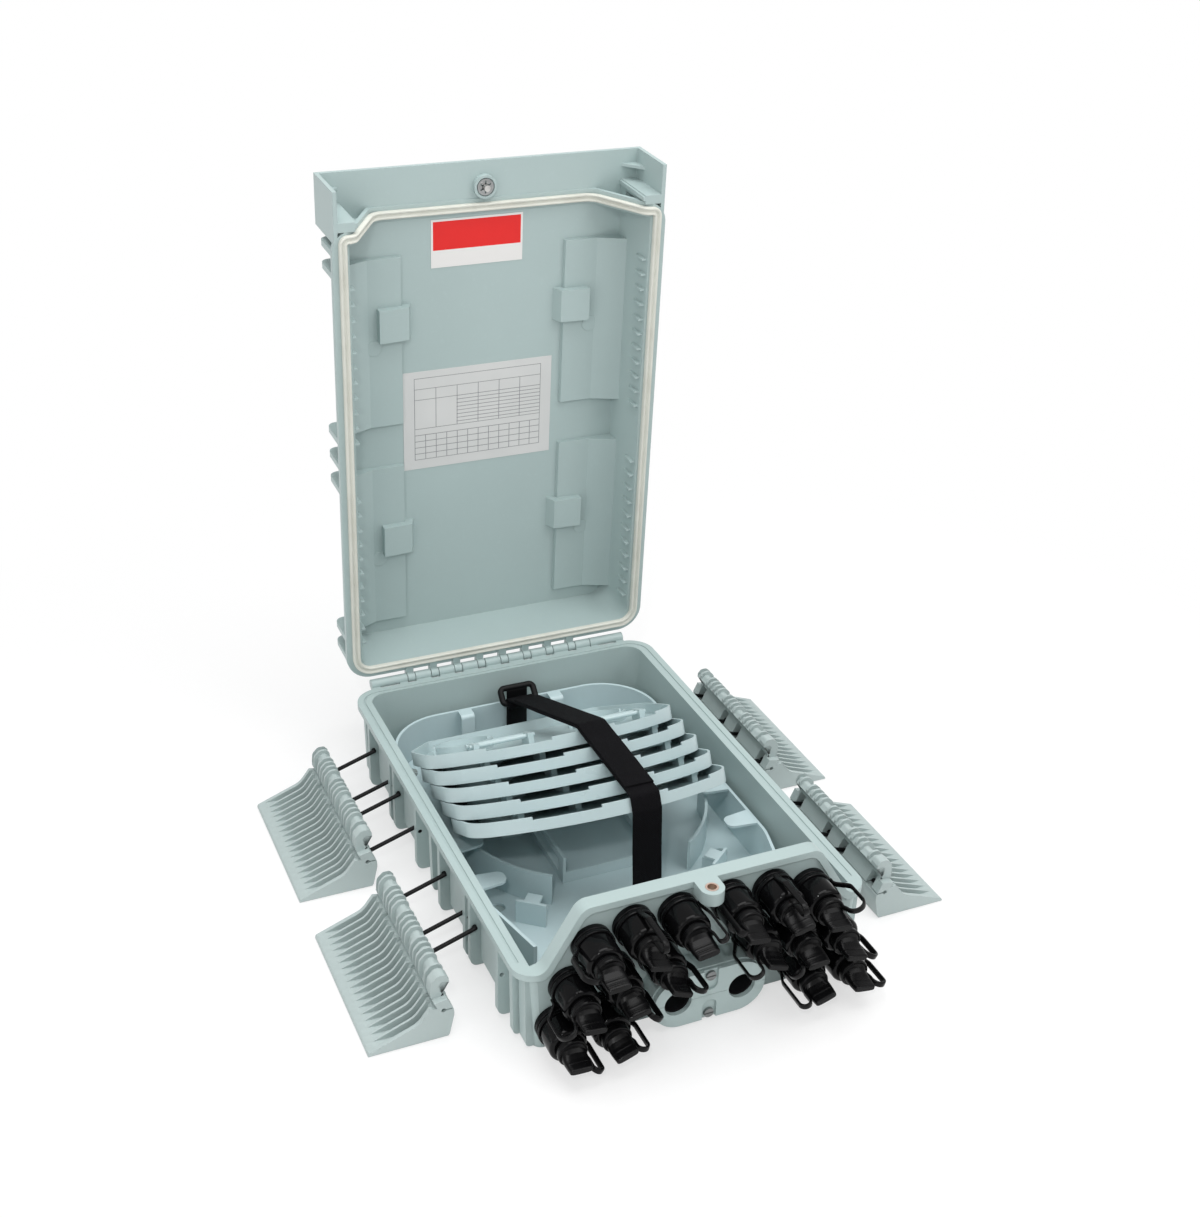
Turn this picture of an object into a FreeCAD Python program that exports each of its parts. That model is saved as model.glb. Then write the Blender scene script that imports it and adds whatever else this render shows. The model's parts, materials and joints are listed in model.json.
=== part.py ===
import FreeCAD
import Part
import math
import os

V = FreeCAD.Vector
os.makedirs("parts", exist_ok=True)

# Driving dimensions in mm. The box lies on its back: X across, +Y towards the hinge, Z up.

# Base: outlines are half width and rear edge, the front lies at the front wall.
RIM_X = 115.0
RIM_Y = 166.1
RIM_Z = 56.2
RIM_WIDTH = 10.0
RIM_CORNERS = (14.0, 18.0)
RIM_GROOVE = (4.4, 5.8, 0.6)
FLANGE = 4.5
WALL = 2.8
FRONT_WALL = (-164.0, -161.0)
SHELL_FOOT = (104.0, 159.0)
SHELL_HEAD = (108.0, 162.0)
CAVITY_FOOT = (101.2, 156.2)
CAVITY_HEAD = (105.0, 158.5)
ARCH_HALF = 98.0
COLUMN = [(103, 2), (114.6, 2), (114.6, 53), (103, 53)]
COLUMN_STEPS = (-52.25, -4.75, 4.75, 52.25)
COLUMN_HALF = 2.25
PANEL = [(103, 7), (107, 7), (110, 12), (110, 53), (103, 53)]
PANEL_STEPS = (-28.5, 28.5)
PANEL_HALF = 15.0
END_RIBS = [(-156.5, 109.5, 5.0), (-146.5, 112.5, 2.5), (-1.0, 112.5, 2.5), (147.0, 111.5, 2.5)]
BACK_HOLES = [(70.0, 110.0), (70.0, -110.0)]
BACK_HOLE_R = 2.2
BACK_HOLE_DEEP = 1.9
ARCH = [(-115, 56.2), (-99.5, 56.2), (-76, 95.5), (76, 95.5), (99.5, 56.2), (115, 56.2)]
ARCH_BENDS = [0, 9, 9, 9, 9, 0]

# Hinge along the rear edge.
HINGE_Y = 171.1
HINGE_Z = 57.3
HINGE_HALF = 99.3
KNUCKLE_R = 3.5
PIN_R = 1.5
PIN_FIT = 0.06
KNUCKLE_GAP = 0.25
WIDE_KNUCKLE = 72.0
KNUCKLE_WIDTHS = (6.0, 12.0)

# Lid, drawn closed and then swung open; pads and wedges are spans along Y.
LID_OPEN = 87.4
LID_RIM = 60.0
LID_FLANGE = 4.0
LID_TOP = 103.0
LID_SKIN = 3.0
LID_FOOT = (106.5, 163.0)
LID_CROWN = (102.5, 158.0)
LID_HOLLOW_FOOT = (103.9, 160.3)
LID_HOLLOW_CROWN = (100.0, 155.0)
LID_GABLE = (-160.0, -157.5)
HOOD_FRONT = -191.0
HOOD_BACK = -167.5
HOOD_X = 113.5
HOOD_WALL = 2.7
GUARD = [(101, 60), (115, 60), (115, 90), (101, 90)]
GUARD_PLACES = (-151.5, -136.5, -21.5, -3.0, 15.5, 132.5, 148.0)
LID_PADS = [(-132.0, -12.0), (20.0, 144.0)]
LID_PAD_RISE = 3.0
LID_WEDGES = [(-98.0, -75.0), (65.0, 88.0)]
LID_TEETH = 11
LID_TOOTH_HALF = 0.7
LID_MARKS = [(82.0, -70.0), (82.0, 92.0)]
LID_MARK_R = 5.5

# Gasket, captive screw and the two labels inside the lid.
GASKET_GAP = 0.3
GASKET_HIGH = 3.5
GASKET_OUTER = (111.0, 162.1)
GASKET_WIDTH = 5.4
GASKET_FRONT = -163.5
SCREW_Y = -174.2
SCREW_BOSS_R = 7.5
SCREW_BOSS_FOOT = 87.0
SCREW_HEAD_R = 5.5
SCREW_SHANK_R = 2.1
LOG_LABEL = (-58.0, 52.0, -48.0, 26.0)
COLOUR_LABEL = (-37.0, 28.0, -154.0, -121.0)
LABEL_GAP = 0.05
LABEL_THICK = 0.3

# Latches and their wire bails; sections are (x, z) on the right side.
LATCH_CENTRES = {"rear": 75.0, "front": -77.0}
LATCH_HALF = 57.5
HOOK_HALF = 53.0
LATCH_PROFILE = [(195.2, 0.2), (194.8, 2.2), (180, 6.5), (170.5, 13), (165.5, 22), (163.2, 32),
                 (160.5, 34.2), (158.6, 32), (158, 25.5), (153.6, 25.5), (155.6, 31), (155, 38),
                 (151, 42), (146.5, 41.8), (144.2, 39), (144.0, 36.3), (148.4, 37.4), (150.6, 35),
                 (149.5, 30.5), (146.7, 27.9), (142.9, 19.5), (142.6, 15), (146, 0.2)]
LATCH_BENDS = [0, 0, 14, 0, 10, 2, 0, 0, 0, 0, 3, 4, 3, 2, 0, 0, 0, 1.5, 0, 0, 2, 0, 2]
LATCH_SWING = [(1.75, -1.0), (1.75, 4.5), (-1.0, 8.5), (-12.0, 12.0), (-12.0, -0.5), (0.0, -2.0)]
LATCH_GROOVE = [(191.5, 2.2), (178, 2.8), (168, 4.5), (160.5, 12), (156.8, 21), (157.6, 40),
                (175, 40), (191.5, 14)]
LATCH_GROOVES = 16
LATCH_END = 1.2
LATCH_RIB = 1.6
LATCH_WINDOW = [(145.6, 45), (146.2, 40.4), (151.2, 40.0), (153.3, 36.5), (154.0, 30), (158, 30),
                (158, 45)]
LATCH_WINDOWS = 12
LATCH_WINDOW_STEP = 8.65
LATCH_VENT = [(148, 20), (151, 19), (158.3, 27), (153.2, 27)]
LATCH_VENTS = 6
LATCH_VENT_STEP = 16.8
BAIL_PIVOT = (112.0, 32.5)
LATCH_PIVOT = (149.0, 20.0)
BAIL_LEGS = (9.0, 48.0)
WIRE_R = 1.4
WIRE_FIT = 0.05

# Storage insert; ring arcs are a start angle and a sweep.
INSERT_X = 99.5
INSERT_Y = (-146.0, 150.0)
INSERT_FRONT_X = 80.0
INSERT_BEND_Y = -65.0
INSERT_Z = (3.1, 5.1)
INSERT_TOP = 35.0
INSERT_SKIN = 2.0
INSERT_LOW_FRONT = (-118.0, 14.0)
TIE_SLOTS_X = (-40.0, -28.0, 28.0, 40.0)
TIE_SLOTS_Y = (-128.0, -108.0)
FLOOR_HOLES = [(40.0, 138.0, 6.0), (80.0, -40.0, 4.5), (-80.0, -40.0, 4.5)]
INSERT_SCREWS = [(84.0, 125.0), (74.0, -130.0)]
RING_CENTRE = (2.0, 23.0)
RING_R = 88.0
RING_TOP = 28.0
RING_ARCS = [(188.0, 48.0), (304.0, 48.0)]
LEAF_Y = (-47.0, -5.0)
LEAF_TIP = 78.0
FIN_PLACE = (66.6, -63.0)
FIN_TURN = 39.0
FIN_LONG = 20.0
FIN_TOP = 22.0
REAR_HOOKS = (-36.0, 34.0)
REAR_HOOK_LINE = [(149.0, 34.2), (140.5, 34.2), (138.8, 14.0)]
STRAP_STOP = (-90.5, -88.0)

# Splice trays, drawn flat from their pivot, and the bracket that carries them.
TRAY_COUNT = 5
TRAY_PITCH = 20.5
TRAY_TILT = 28.0
TRAY_PIVOT = (120.0, 25.0)
TRAY_X = (-99.0, 79.5)
TRAY_WAIST = 24.0
TRAY_REAR = 7.0
TRAY_FLARE = 48.0
TRAY_REACH = 130.0
TRAY_SLOPE = 35.0
TRAY_FRONT_R = 134.0
TRAY_CORNER_R = 28.0
TRAY_FLARE_R = 30.0
TRAY_REAR_R = 8.0
TRAY_WALL = 1.6
TRAY_HIGH = 7.6
TRAY_LOW = -1.4
TRAY_NOTCHES = [(-66.0, -24.0), (22.0, 58.0)]
TRAY_NOTCH_Z = 5.7
TRAY_DRUMS = [-60.0, 40.5]
TRAY_DRUM_R = 21.0
TRAY_DRUM_V = 45.0
TRAY_COMBS = [-62.0, -23.0, 21.0, 60.0]
TRAY_SLEEVES = [72.0, 79.0]
TRAY_SLEEVE_R = 1.5
TRAY_LUGS = [(-58.5, -50.0), (19.5, 28.0)]
LUG_R = 3.4
AXLE_R = 1.9
AXLE_FIT = 0.06
BRACKET_RAILS = [(-48.5, -44.5, -1), (14.0, 18.0, 1)]
BRACKET_CHEEKS = [(-32.0, -30.0), (36.0, 38.0)]
BRACKET_Y = (-32.0, 28.0, 128.0)

# Strap and buckle; lines are (y, z).
STRAP_X = (-6.0, 14.0)
STRAP_PIVOT = (139.0, 38.5)
STRAP_EYE = (2.4, 4.0)
STRAP_LINE = [(140.3, 41.4), (11.0, 94.5), (-74.3, 94.5), (-79.2, 85.0), (-85.5, 9.0)]
STRAP_BENDS = [0, 8, 3, 4, 0]
STRAP_TAIL = [(124.8, 47.77), (11.0, 94.5), (-66.0, 94.5)]
STRAP_TAIL_BENDS = [0, 8, 0]
STRAP_HALF = 0.8
STRAP_TAIL_TOP = 2.3
BUCKLE_BAR_R = 2.3
BUCKLE_TOP = (147.5, 46.8)
BUCKLE_TOP_R = 2.6
BUCKLE_GAP = 1.0
BUCKLE_SIDE = 3.4

# Adapters and dust caps: the right half's centres as (x, z), then one value for each cap.
ADAPTERS = [(16.5, 76.5), (45.0, 76.0), (70.5, 69.5), (30.5, 53.0), (57.5, 46.5), (84.0, 43.5),
            (64.5, 18.0), (92.0, 17.5)]
ADAPTER_R = 11.6
ADAPTER_FLANGE_R = 12.7
ADAPTER_END = -187.0
ADAPTER_FACE = -164.2
ADAPTER_HOLE_R = 9.6
ADAPTER_SPIGOT_R = 9.3
ADAPTER_BORE_R = 7.6
NUT_R = 11.2
CAP_TURN = [8, -14, 5, 20, -6, 12, -18, 9, -9, 15, -4, 24, -12, 6, -20, 3]
LANYARD_AIM = [150, 95, 20, 200, 215, 330, 190, 340, 30, 85, 160, 340, 325, 200, 350, 330]
LANYARD_BOW = [14.5, 16, 20, 18, 18, 20, 16, 18, 14.5, 16, 20, 18, 18, 20, 16, 16]
LANYARD_REACH = [204, 207, 201, 205, 203, 202, 206, 203, 205, 207, 202, 204, 206, 201, 203, 205]

# Cable port.
PORT_Z = 21.5
PORT_X = 21.0
PORT_HOLE_R = 8.75
PORT_PLATE = (18.5, 18.0)
PORT_BOSS_R = 19.2
PORT_TUNNEL_R = 15.0
PORT_FACE = -178.0
PORT_SCREW_IN = 4.0
PORT_NOTCH = 4.6


def bend_points(before, corner, after, radius):
    """Start, middle and end of the arc that rounds a corner."""
    a = (before - corner).normalize()
    b = (after - corner).normalize()
    half = a.getAngle(b) / 2
    reach = radius / math.tan(half)
    inward = (a + b).normalize()
    middle = corner + inward * (radius / math.sin(half) - radius)
    return corner + a * reach, middle, corner + b * reach


def path(points, radii, closed):
    """A wire through 3-D points whose corners are rounded by the radii given."""
    count = len(points)
    edges = []
    last = None
    first = None
    for i, point in enumerate(points):
        inner = closed or 0 < i < count - 1
        if inner and radii[i] > 0:
            start, middle, end = bend_points(points[i - 1], point, points[(i + 1) % count], radii[i])
        else:
            start, middle, end = point, None, point
        if last is not None and last.distanceToPoint(start) > 1e-6:
            edges.append(Part.LineSegment(last, start).toShape())
        if middle is not None:
            edges.append(Part.Arc(start, middle, end).toShape())
        if first is None:
            first = start
        last = end
    if closed and last.distanceToPoint(first) > 1e-6:
        edges.append(Part.LineSegment(last, first).toShape())
    return Part.Wire(edges)


def lift(point, axis, level):
    """A 2-D point placed on the plane square to the axis at the level given."""
    a, b = point
    if axis == "x":
        return V(level, a, b)
    if axis == "y":
        return V(a, level, b)
    return V(a, b, level)


def outline(points, axis, level, radii=0):
    """A closed rounded outline on the plane square to the axis."""
    if not isinstance(radii, (list, tuple)):
        radii = [radii] * len(points)
    return path([lift(p, axis, level) for p in points], radii, True)


def prism(points, axis, start, end, radii=0):
    """A rounded polygon drawn out along the axis from start to end."""
    face = Part.Face(outline(points, axis, start, radii))
    step = {"x": V(1, 0, 0), "y": V(0, 1, 0), "z": V(0, 0, 1)}[axis]
    return face.extrude(step * (end - start))


def box(x0, x1, y0, y1, z0, z1):
    """A plain block between two opposite corners."""
    return Part.makeBox(x1 - x0, y1 - y0, z1 - z0, V(x0, y0, z0))


def rod(start, end, radius):
    """A round bar between two points."""
    line = end - start
    return Part.makeCylinder(radius, line.Length, start, line)


def rectangle(x, y0, y1, level, front, rear):
    """A rounded rectangle across the box, with its own front and rear corner radii."""
    points = [(-x, y0), (x, y0), (x, y1), (-x, y1)]
    return outline(points, "z", level, [front, front, rear, rear])


def slab(x, y0, y1, z0, z1, front, rear):
    """A rounded rectangular plate between two levels."""
    face = Part.Face(rectangle(x, y0, y1, z0, front, rear))
    return face.extrude(V(0, 0, z1 - z0))


def loft(*wires):
    """A straight-sided solid through closed wires."""
    return Part.makeLoft(list(wires), True, True)


def obround(half, radius, centre_z, y0, y1):
    """A slot-shaped plate that faces forward."""
    points = [(-half - radius, centre_z - radius), (half + radius, centre_z - radius),
              (half + radius, centre_z + radius), (-half - radius, centre_z + radius)]
    return prism(points, "y", y0, y1, radius - 0.01)


def shifted(points, distance):
    """An open 2-D line moved sideways by the distance, mitred at its corners."""
    out = []
    for i, point in enumerate(points):
        before = points[max(i - 1, 0)]
        after = points[min(i + 1, len(points) - 1)]
        normals = []
        for a, b in ((before, point), (point, after)):
            dx, dy = b[0] - a[0], b[1] - a[1]
            size = math.hypot(dx, dy)
            if size > 1e-9:
                normals.append((-dy / size, dx / size))
        nx = sum(n[0] for n in normals) / len(normals)
        ny = sum(n[1] for n in normals) / len(normals)
        scale = distance / (nx * nx + ny * ny)
        out.append((point[0] + nx * scale, point[1] + ny * scale))
    return out


def strip(points, low, high, axis, start, end, bends):
    """A band between two parallel lines, drawn out along the axis."""
    radii = list(bends) + list(bends)[::-1]
    return prism(shifted(points, low) + shifted(points, high)[::-1], axis, start, end, radii)


def wire(points, radius):
    """A round bar along a line of points, with a ball at each bend."""
    parts = [rod(a, b, radius) for a, b in zip(points, points[1:])]
    parts += [Part.makeSphere(radius, point) for point in points[1:-1]]
    return joined(parts)


def joined(shapes):
    """One solid from touching shapes."""
    return shapes[0].multiFuse(shapes[1:]).removeSplitter()


def mirrored(shape):
    """The same shape on the other side of the box."""
    return shape.mirror(V(0, 0, 0), V(1, 0, 0))


def both(shapes):
    """Shapes and their mirror images."""
    return list(shapes) + [mirrored(s) for s in shapes]


def moved(shape, x=0.0, y=0.0, z=0.0):
    """A copy moved along the axes."""
    copy = shape.copy()
    copy.translate(V(x, y, z))
    return copy


def opened(shape):
    """A lid piece swung from its closed place to where it stands."""
    copy = shape.copy()
    copy.rotate(V(0, HINGE_Y, HINGE_Z), V(1, 0, 0), -LID_OPEN)
    return copy


def save(name, *shapes):
    """Writes one node."""
    shape = shapes[0] if len(shapes) == 1 else Part.makeCompound(list(shapes))
    shape.exportStep("parts/" + name + ".step")


def knuckles():
    """Hinge knuckle spans along X as (owner, start, end): short lid ones between wide base ones."""
    spans = [("base", -HINGE_HALF, -WIDE_KNUCKLE)]
    edge, turn = -WIDE_KNUCKLE, 0
    while edge < WIDE_KNUCKLE - 1:
        width = KNUCKLE_WIDTHS[turn]
        spans.append((("lid", "base")[turn], edge, edge + width))
        edge += width
        turn = 1 - turn
    spans.append(("base", WIDE_KNUCKLE, HINGE_HALF))
    return spans


def hinge_barrels(owner):
    """The knuckles of one side of the hinge with the webs that carry them."""
    out = []
    for who, start, end in knuckles():
        if who != owner:
            continue
        a, b = start + KNUCKLE_GAP, end - KNUCKLE_GAP
        out.append(rod(V(a, HINGE_Y, HINGE_Z), V(b, HINGE_Y, HINGE_Z), KNUCKLE_R))
        webs = [(a, b)]
        low, high = RIM_Z - FLANGE + 0.3, RIM_Z
        if who == "lid":
            low, high = HINGE_Z + 1.6, LID_RIM + 3
        elif end - start > max(KNUCKLE_WIDTHS):
            webs = [(a, a + 6), (b - 6, b)]
        out += [box(x0, x1, RIM_Y - 3, HINGE_Y, low, high) for x0, x1 in webs]
    return out


def pin_line(short, radius):
    """A bar on the hinge axis that stops short of the outer knuckles' ends."""
    end = HINGE_HALF - short
    return rod(V(-end, HINGE_Y, HINGE_Z), V(end, HINGE_Y, HINGE_Z), radius)


def pin_bore():
    """The running bore through every knuckle."""
    return pin_line(1.5, PIN_R + PIN_FIT)


def adapter_places():
    """Sixteen adapter centres: the right half and then its mirror image."""
    return ADAPTERS + [(-x, z) for x, z in ADAPTERS]


def side_columns():
    """Outer columns that carry the bail pins, flat panels between them and ribs near the corners."""
    out = []
    for centre in LATCH_CENTRES.values():
        for step in COLUMN_STEPS:
            y = centre + step
            out.append(prism(COLUMN, "y", y - COLUMN_HALF, y + COLUMN_HALF, [0, 5, 0, 0]))
        for step in PANEL_STEPS:
            y = centre + step
            out.append(prism(PANEL, "y", y - PANEL_HALF, y + PANEL_HALF))
    for y, reach, half in END_RIBS:
        rib = [(102, 1), (reach - 1, 1), (reach, 53), (102, 53)]
        out.append(prism(rib, "y", y - half, y + half, [0, 3, 0, 0]))
    return out


def base_shell():
    """The drafted tray with its rim and side columns, open where the arched front stands."""
    front, inside = FRONT_WALL
    (foot_x, foot_y), (head_x, head_y) = SHELL_FOOT, SHELL_HEAD
    shell = loft(rectangle(foot_x, front, foot_y, 0, 6, 12),
                 rectangle(head_x, front, head_y, RIM_Z - FLANGE, 6, 14))
    flange = slab(RIM_X, -RIM_Y, RIM_Y, RIM_Z - FLANGE, RIM_Z, *RIM_CORNERS)
    gate = box(-ARCH_HALF, ARCH_HALF, -RIM_Y - 1, inside + RIM_WIDTH, RIM_Z - 6, RIM_Z + 1)
    (foot_x, foot_y), (head_x, head_y) = CAVITY_FOOT, CAVITY_HEAD
    cavity = loft(rectangle(foot_x, inside, foot_y, WALL, 1, 10),
                  rectangle(head_x, inside, head_y, LID_RIM, 1, 12))
    return joined([shell, flange.cut(gate)] + both(side_columns())).cut(cavity)


def rim_groove():
    """The shallow line that runs round the top of the rim."""
    outer, inner, deep = RIM_GROOVE
    low, front = RIM_Z - deep, FRONT_WALL[1] + RIM_WIDTH
    corner = RIM_CORNERS[1]
    groove = slab(RIM_X - outer, front, RIM_Y - outer, low, RIM_Z + 1, 0, corner - outer)
    core = slab(RIM_X - inner, front - 1, RIM_Y - inner, low - 1, RIM_Z + 2, 0, corner - inner)
    return groove.cut(core)


def arch_band(low, high):
    """A band that follows the arch at the front of the rim, with the rim's rounded corners."""
    band = strip(ARCH, low, high, "y", -RIM_Y, -RIM_Y + RIM_WIDTH, ARCH_BENDS)
    return band.common(slab(RIM_X, -RIM_Y, RIM_Y, 0, LID_TOP + 10, *RIM_CORNERS))


def base():
    """The base: shell, arched front with screw boss and port boss, hinge knuckles and its holes."""
    front, inside = FRONT_WALL
    crown = ARCH[2][1]
    wall = [(-100, 1), (-103, 52)] + shifted(ARCH, -3)[1:-1] + [(103, 52), (100, 1)]
    shapes = [base_shell(), prism(wall, "y", front, inside)]
    shapes.append(arch_band(-FLANGE, 0))
    shapes.append(rod(V(0, SCREW_Y, SCREW_BOSS_FOOT), V(0, SCREW_Y, crown), SCREW_BOSS_R))
    shapes.append(box(-SCREW_BOSS_R, SCREW_BOSS_R, SCREW_Y, inside - 1, SCREW_BOSS_FOOT, crown))
    shapes.append(obround(PORT_PLATE[0], PORT_BOSS_R, PORT_Z, PORT_FACE, inside))
    solid = joined(shapes + hinge_barrels("base"))
    cuts = [pin_bore(), rim_groove()]
    cuts.append(rod(V(0, SCREW_Y, SCREW_BOSS_FOOT + 1.5), V(0, SCREW_Y, crown + 1), 4.0))
    cuts.append(obround(PORT_PLATE[0], PORT_TUNNEL_R, PORT_Z, PORT_FACE - 2, inside + 1))
    for x, z in adapter_places():
        cuts.append(rod(V(x, front - 6, z), V(x, inside + 6, z), ADAPTER_HOLE_R))
    for centre in LATCH_CENTRES.values():
        x, z = BAIL_PIVOT
        cuts.extend(both([rod(V(x, centre - 60, z), V(x, centre + 60, z), WIRE_R + WIRE_FIT)]))
    for x, y in BACK_HOLES:
        cuts.extend(both([rod(V(x, y, -1), V(x, y, BACK_HOLE_DEEP), BACK_HOLE_R)]))
    return solid.cut(Part.makeCompound(cuts))


def insert_plan(inset, low, high):
    """The insert's outline as a plate: straight sides that draw in towards the front."""
    x, front = INSERT_X - inset, INSERT_FRONT_X - inset
    y0, y1 = INSERT_Y[0] + inset, INSERT_Y[1] - inset
    points = [(-front, y0), (front, y0), (x, INSERT_BEND_Y), (x, y1), (-x, y1), (-x, INSERT_BEND_Y)]
    return prism(points, "z", low, high, [14 - inset, 14 - inset, 40, 42 - inset, 42 - inset, 40])


def ring_walls():
    """The two arcs of the round fibre guide, open towards the front."""
    centre = V(RING_CENTRE[0], RING_CENTRE[1], INSERT_Z[1] - 0.1)
    up = V(0, 0, 1)
    out = []
    for start, sweep in RING_ARCS:
        outer = Part.makeCylinder(RING_R, RING_TOP - centre.z, centre, up, sweep)
        inner = Part.makeCylinder(RING_R - INSERT_SKIN, RING_TOP, centre, up, 360)
        arc = outer.cut(inner)
        arc.rotate(centre, up, start)
        out.append(arc)
    return out


def fibre_fin():
    """An upright square plate on the insert floor with a gusset and a top tab behind it."""
    half = FIN_LONG / 2
    floor = INSERT_Z[1] - 0.1
    shapes = [box(-half, half, -1, 1, floor, FIN_TOP), box(-1, 1, 0, 12, floor, FIN_TOP - 5),
              box(-5, 5, 0, 9, FIN_TOP - 1.8, FIN_TOP)]
    fin = joined(shapes)
    fin.rotate(V(0, 0, 0), V(0, 0, 1), FIN_TURN)
    return moved(fin, FIN_PLACE[0], FIN_PLACE[1])


def wall_leaf(y):
    """A round-tipped leaf that keeps fibre under the top of the right wall."""
    inner = INSERT_X - INSERT_SKIN + 0.5
    points = [(inner, y - 8), (inner, y + 8), (LEAF_TIP, y + 5.5), (LEAF_TIP, y - 5.5)]
    return prism(points, "z", INSERT_TOP - 1.8, INSERT_TOP, [0, 0, 5, 5])


def base_insert():
    """The storage insert: floor, wall, round guide, fins, leaves, rear hooks and tie slots."""
    low, floor = INSERT_Z
    wall = insert_plan(0, low, INSERT_TOP).cut(insert_plan(INSERT_SKIN, low - 1, INSERT_TOP + 1))
    front_y, front_z = INSERT_LOW_FRONT
    wall = wall.cut(box(-RIM_X, RIM_X, INSERT_Y[0] - 1, front_y, front_z, INSERT_TOP + 1))
    shapes = [insert_plan(0, low, floor), wall] + ring_walls()
    shapes += both([fibre_fin()] + [wall_leaf(y) for y in LEAF_Y])
    for x in REAR_HOOKS:
        shapes.append(strip(REAR_HOOK_LINE, -0.8, 0.8, "x", x - 5, x + 5, [0, 3, 0]))
    shapes.append(box(STRAP_X[0] - 2, STRAP_X[1] + 2, STRAP_STOP[0], STRAP_STOP[1], floor - 0.1, 16))
    solid = joined(shapes)
    cuts = [moved(box(-1.5, 1.5, -5, 5, 0, 8), x, y) for x in TIE_SLOTS_X for y in TIE_SLOTS_Y]
    for x, y, radius in FLOOR_HOLES:
        cuts.append(rod(V(x, y, 0), V(x, y, 8), radius))
    for x, y in INSERT_SCREWS:
        cuts.extend(both([rod(V(x, y, 0), V(x, y, 8), 2.0)]))
    return solid.cut(Part.makeCompound(cuts))


def tray_pivots():
    """The pivot of each tray as (y, z), the top tray first."""
    return [(TRAY_PIVOT[0] - TRAY_PITCH * i, TRAY_PIVOT[1]) for i in range(TRAY_COUNT)]


def tray_bracket():
    """Two rails on the insert with a post and a stub axle for each tray, and a frame in front."""
    front, middle, rear = BRACKET_Y
    foot = INSERT_Z[1] + 0.1
    shapes = []
    for x0, x1, side in BRACKET_RAILS:
        shapes.append(box(x0 - 3, x1 + 3, middle, rear, foot, foot + 3))
        edge = x0 if side < 0 else x1
        for y, z in tray_pivots():
            post = [(y - 5, foot + 1), (y + 5, foot + 1), (y + 3.6, z + 3.6), (y - 3.6, z + 3.6)]
            shapes.append(prism(post, "x", x0, x1, [0, 0, 3, 3]))
            shapes.append(rod(V(edge - side, y, z), V(edge + side * 9, y, z), AXLE_R))
    left, right = BRACKET_RAILS[0][0], BRACKET_RAILS[1][1]
    for y in (middle, rear - 10):
        shapes.append(box(left, right, y, y + 10, foot, foot + 2))
    for x0, x1 in BRACKET_CHEEKS:
        cheek = box(x0, x1, front, middle, foot, RING_TOP - 3)
        shapes.append(cheek.cut(box(x0 - 1, x1 + 1, front + 8, middle - 8, foot + 5, RING_TOP - 8)))
    left, right = BRACKET_CHEEKS[0][0], BRACKET_CHEEKS[1][1]
    shapes.append(box(left, right, front, front + 2, foot, foot + 8))
    shapes.append(box(left, right, middle - 0.1, middle + 2, foot, RING_TOP - 3))
    return joined(shapes)


def tray_edge(inset):
    """Tray outline seen square on, narrow at the pivot and round in front, as points and radii."""
    x0, x1 = TRAY_X[0] + inset, TRAY_X[1] - inset
    middle, half = (x0 + x1) / 2, (x1 - x0) / 2
    slope = math.radians(TRAY_SLOPE)
    tip = TRAY_REACH - inset + (TRAY_FRONT_R - inset) * (1 / math.cos(slope) - 1)
    corner = tip - half * math.tan(slope)
    waist = TRAY_WAIST - 0.6 * inset
    flare = TRAY_FLARE + 0.4 * inset
    rear = TRAY_REAR + inset
    points = [(x0 + waist, -rear), (x0, -flare), (x0, -corner), (middle, -tip),
              (x1, -corner), (x1, -flare), (x1 - waist, -rear)]
    bends = [TRAY_REAR_R, TRAY_FLARE_R, TRAY_CORNER_R, TRAY_FRONT_R]
    radii = [bend - inset for bend in bends + bends[2::-1]]
    return points, radii


def splice_holder(floor):
    """Comb blocks on the tray floor and the splice sleeves that lie in them."""
    near, far = TRAY_SLEEVES
    shapes = [box(x - 2, x + 2, -far - 4, -near + 4, floor, TRAY_HIGH) for x in TRAY_COMBS]
    z = TRAY_NOTCH_Z
    for reach in TRAY_SLEEVES:
        for x0, x1 in (TRAY_COMBS[:2], TRAY_COMBS[2:]):
            shapes.append(rod(V(x0 - 4, -reach, z), V(x1 + 4, -reach, z), TRAY_SLEEVE_R))
    return shapes


def fibre_drum(x, floor):
    """A split round wall that fibre is wound on."""
    foot, top = V(x, -TRAY_DRUM_V, floor), V(x, -TRAY_DRUM_V, TRAY_HIGH - 1)
    drum = rod(foot, top, TRAY_DRUM_R).cut(rod(foot, top, TRAY_DRUM_R - TRAY_WALL))
    gate = box(x - RIM_X, x + RIM_X, -TRAY_DRUM_V - 4, -TRAY_DRUM_V + 4, floor + 0.2, TRAY_HIGH)
    return drum.cut(gate)


def tray():
    """One splice tray lying flat with its pivot on the X axis."""
    points, radii = tray_edge(0)
    body = prism(points, "z", TRAY_LOW, TRAY_HIGH, radii)
    points, radii = tray_edge(TRAY_WALL)
    hollow = prism(points, "z", TRAY_LOW + TRAY_WALL, TRAY_HIGH + 1, radii)
    body = body.cut(hollow)
    for x0, x1 in TRAY_NOTCHES:
        body = body.cut(box(x0, x1, -TRAY_REACH - 1, -TRAY_REACH / 2, TRAY_NOTCH_Z, TRAY_HIGH + 1))
    floor = TRAY_LOW + TRAY_WALL - 0.2
    shapes = [body] + [fibre_drum(x, floor) for x in TRAY_DRUMS] + splice_holder(floor)
    bores = []
    for x0, x1 in TRAY_LUGS:
        shapes.append(box(x0, x1, -TRAY_REAR - 2, 0, -2.6, 2.6))
        shapes.append(rod(V(x0, 0, 0), V(x1, 0, 0), LUG_R))
        bores.append(rod(V(x0 - 1, 0, 0), V(x1 + 1, 0, 0), AXLE_R + AXLE_FIT))
    return joined(shapes).cut(Part.makeCompound(bores))


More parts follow.
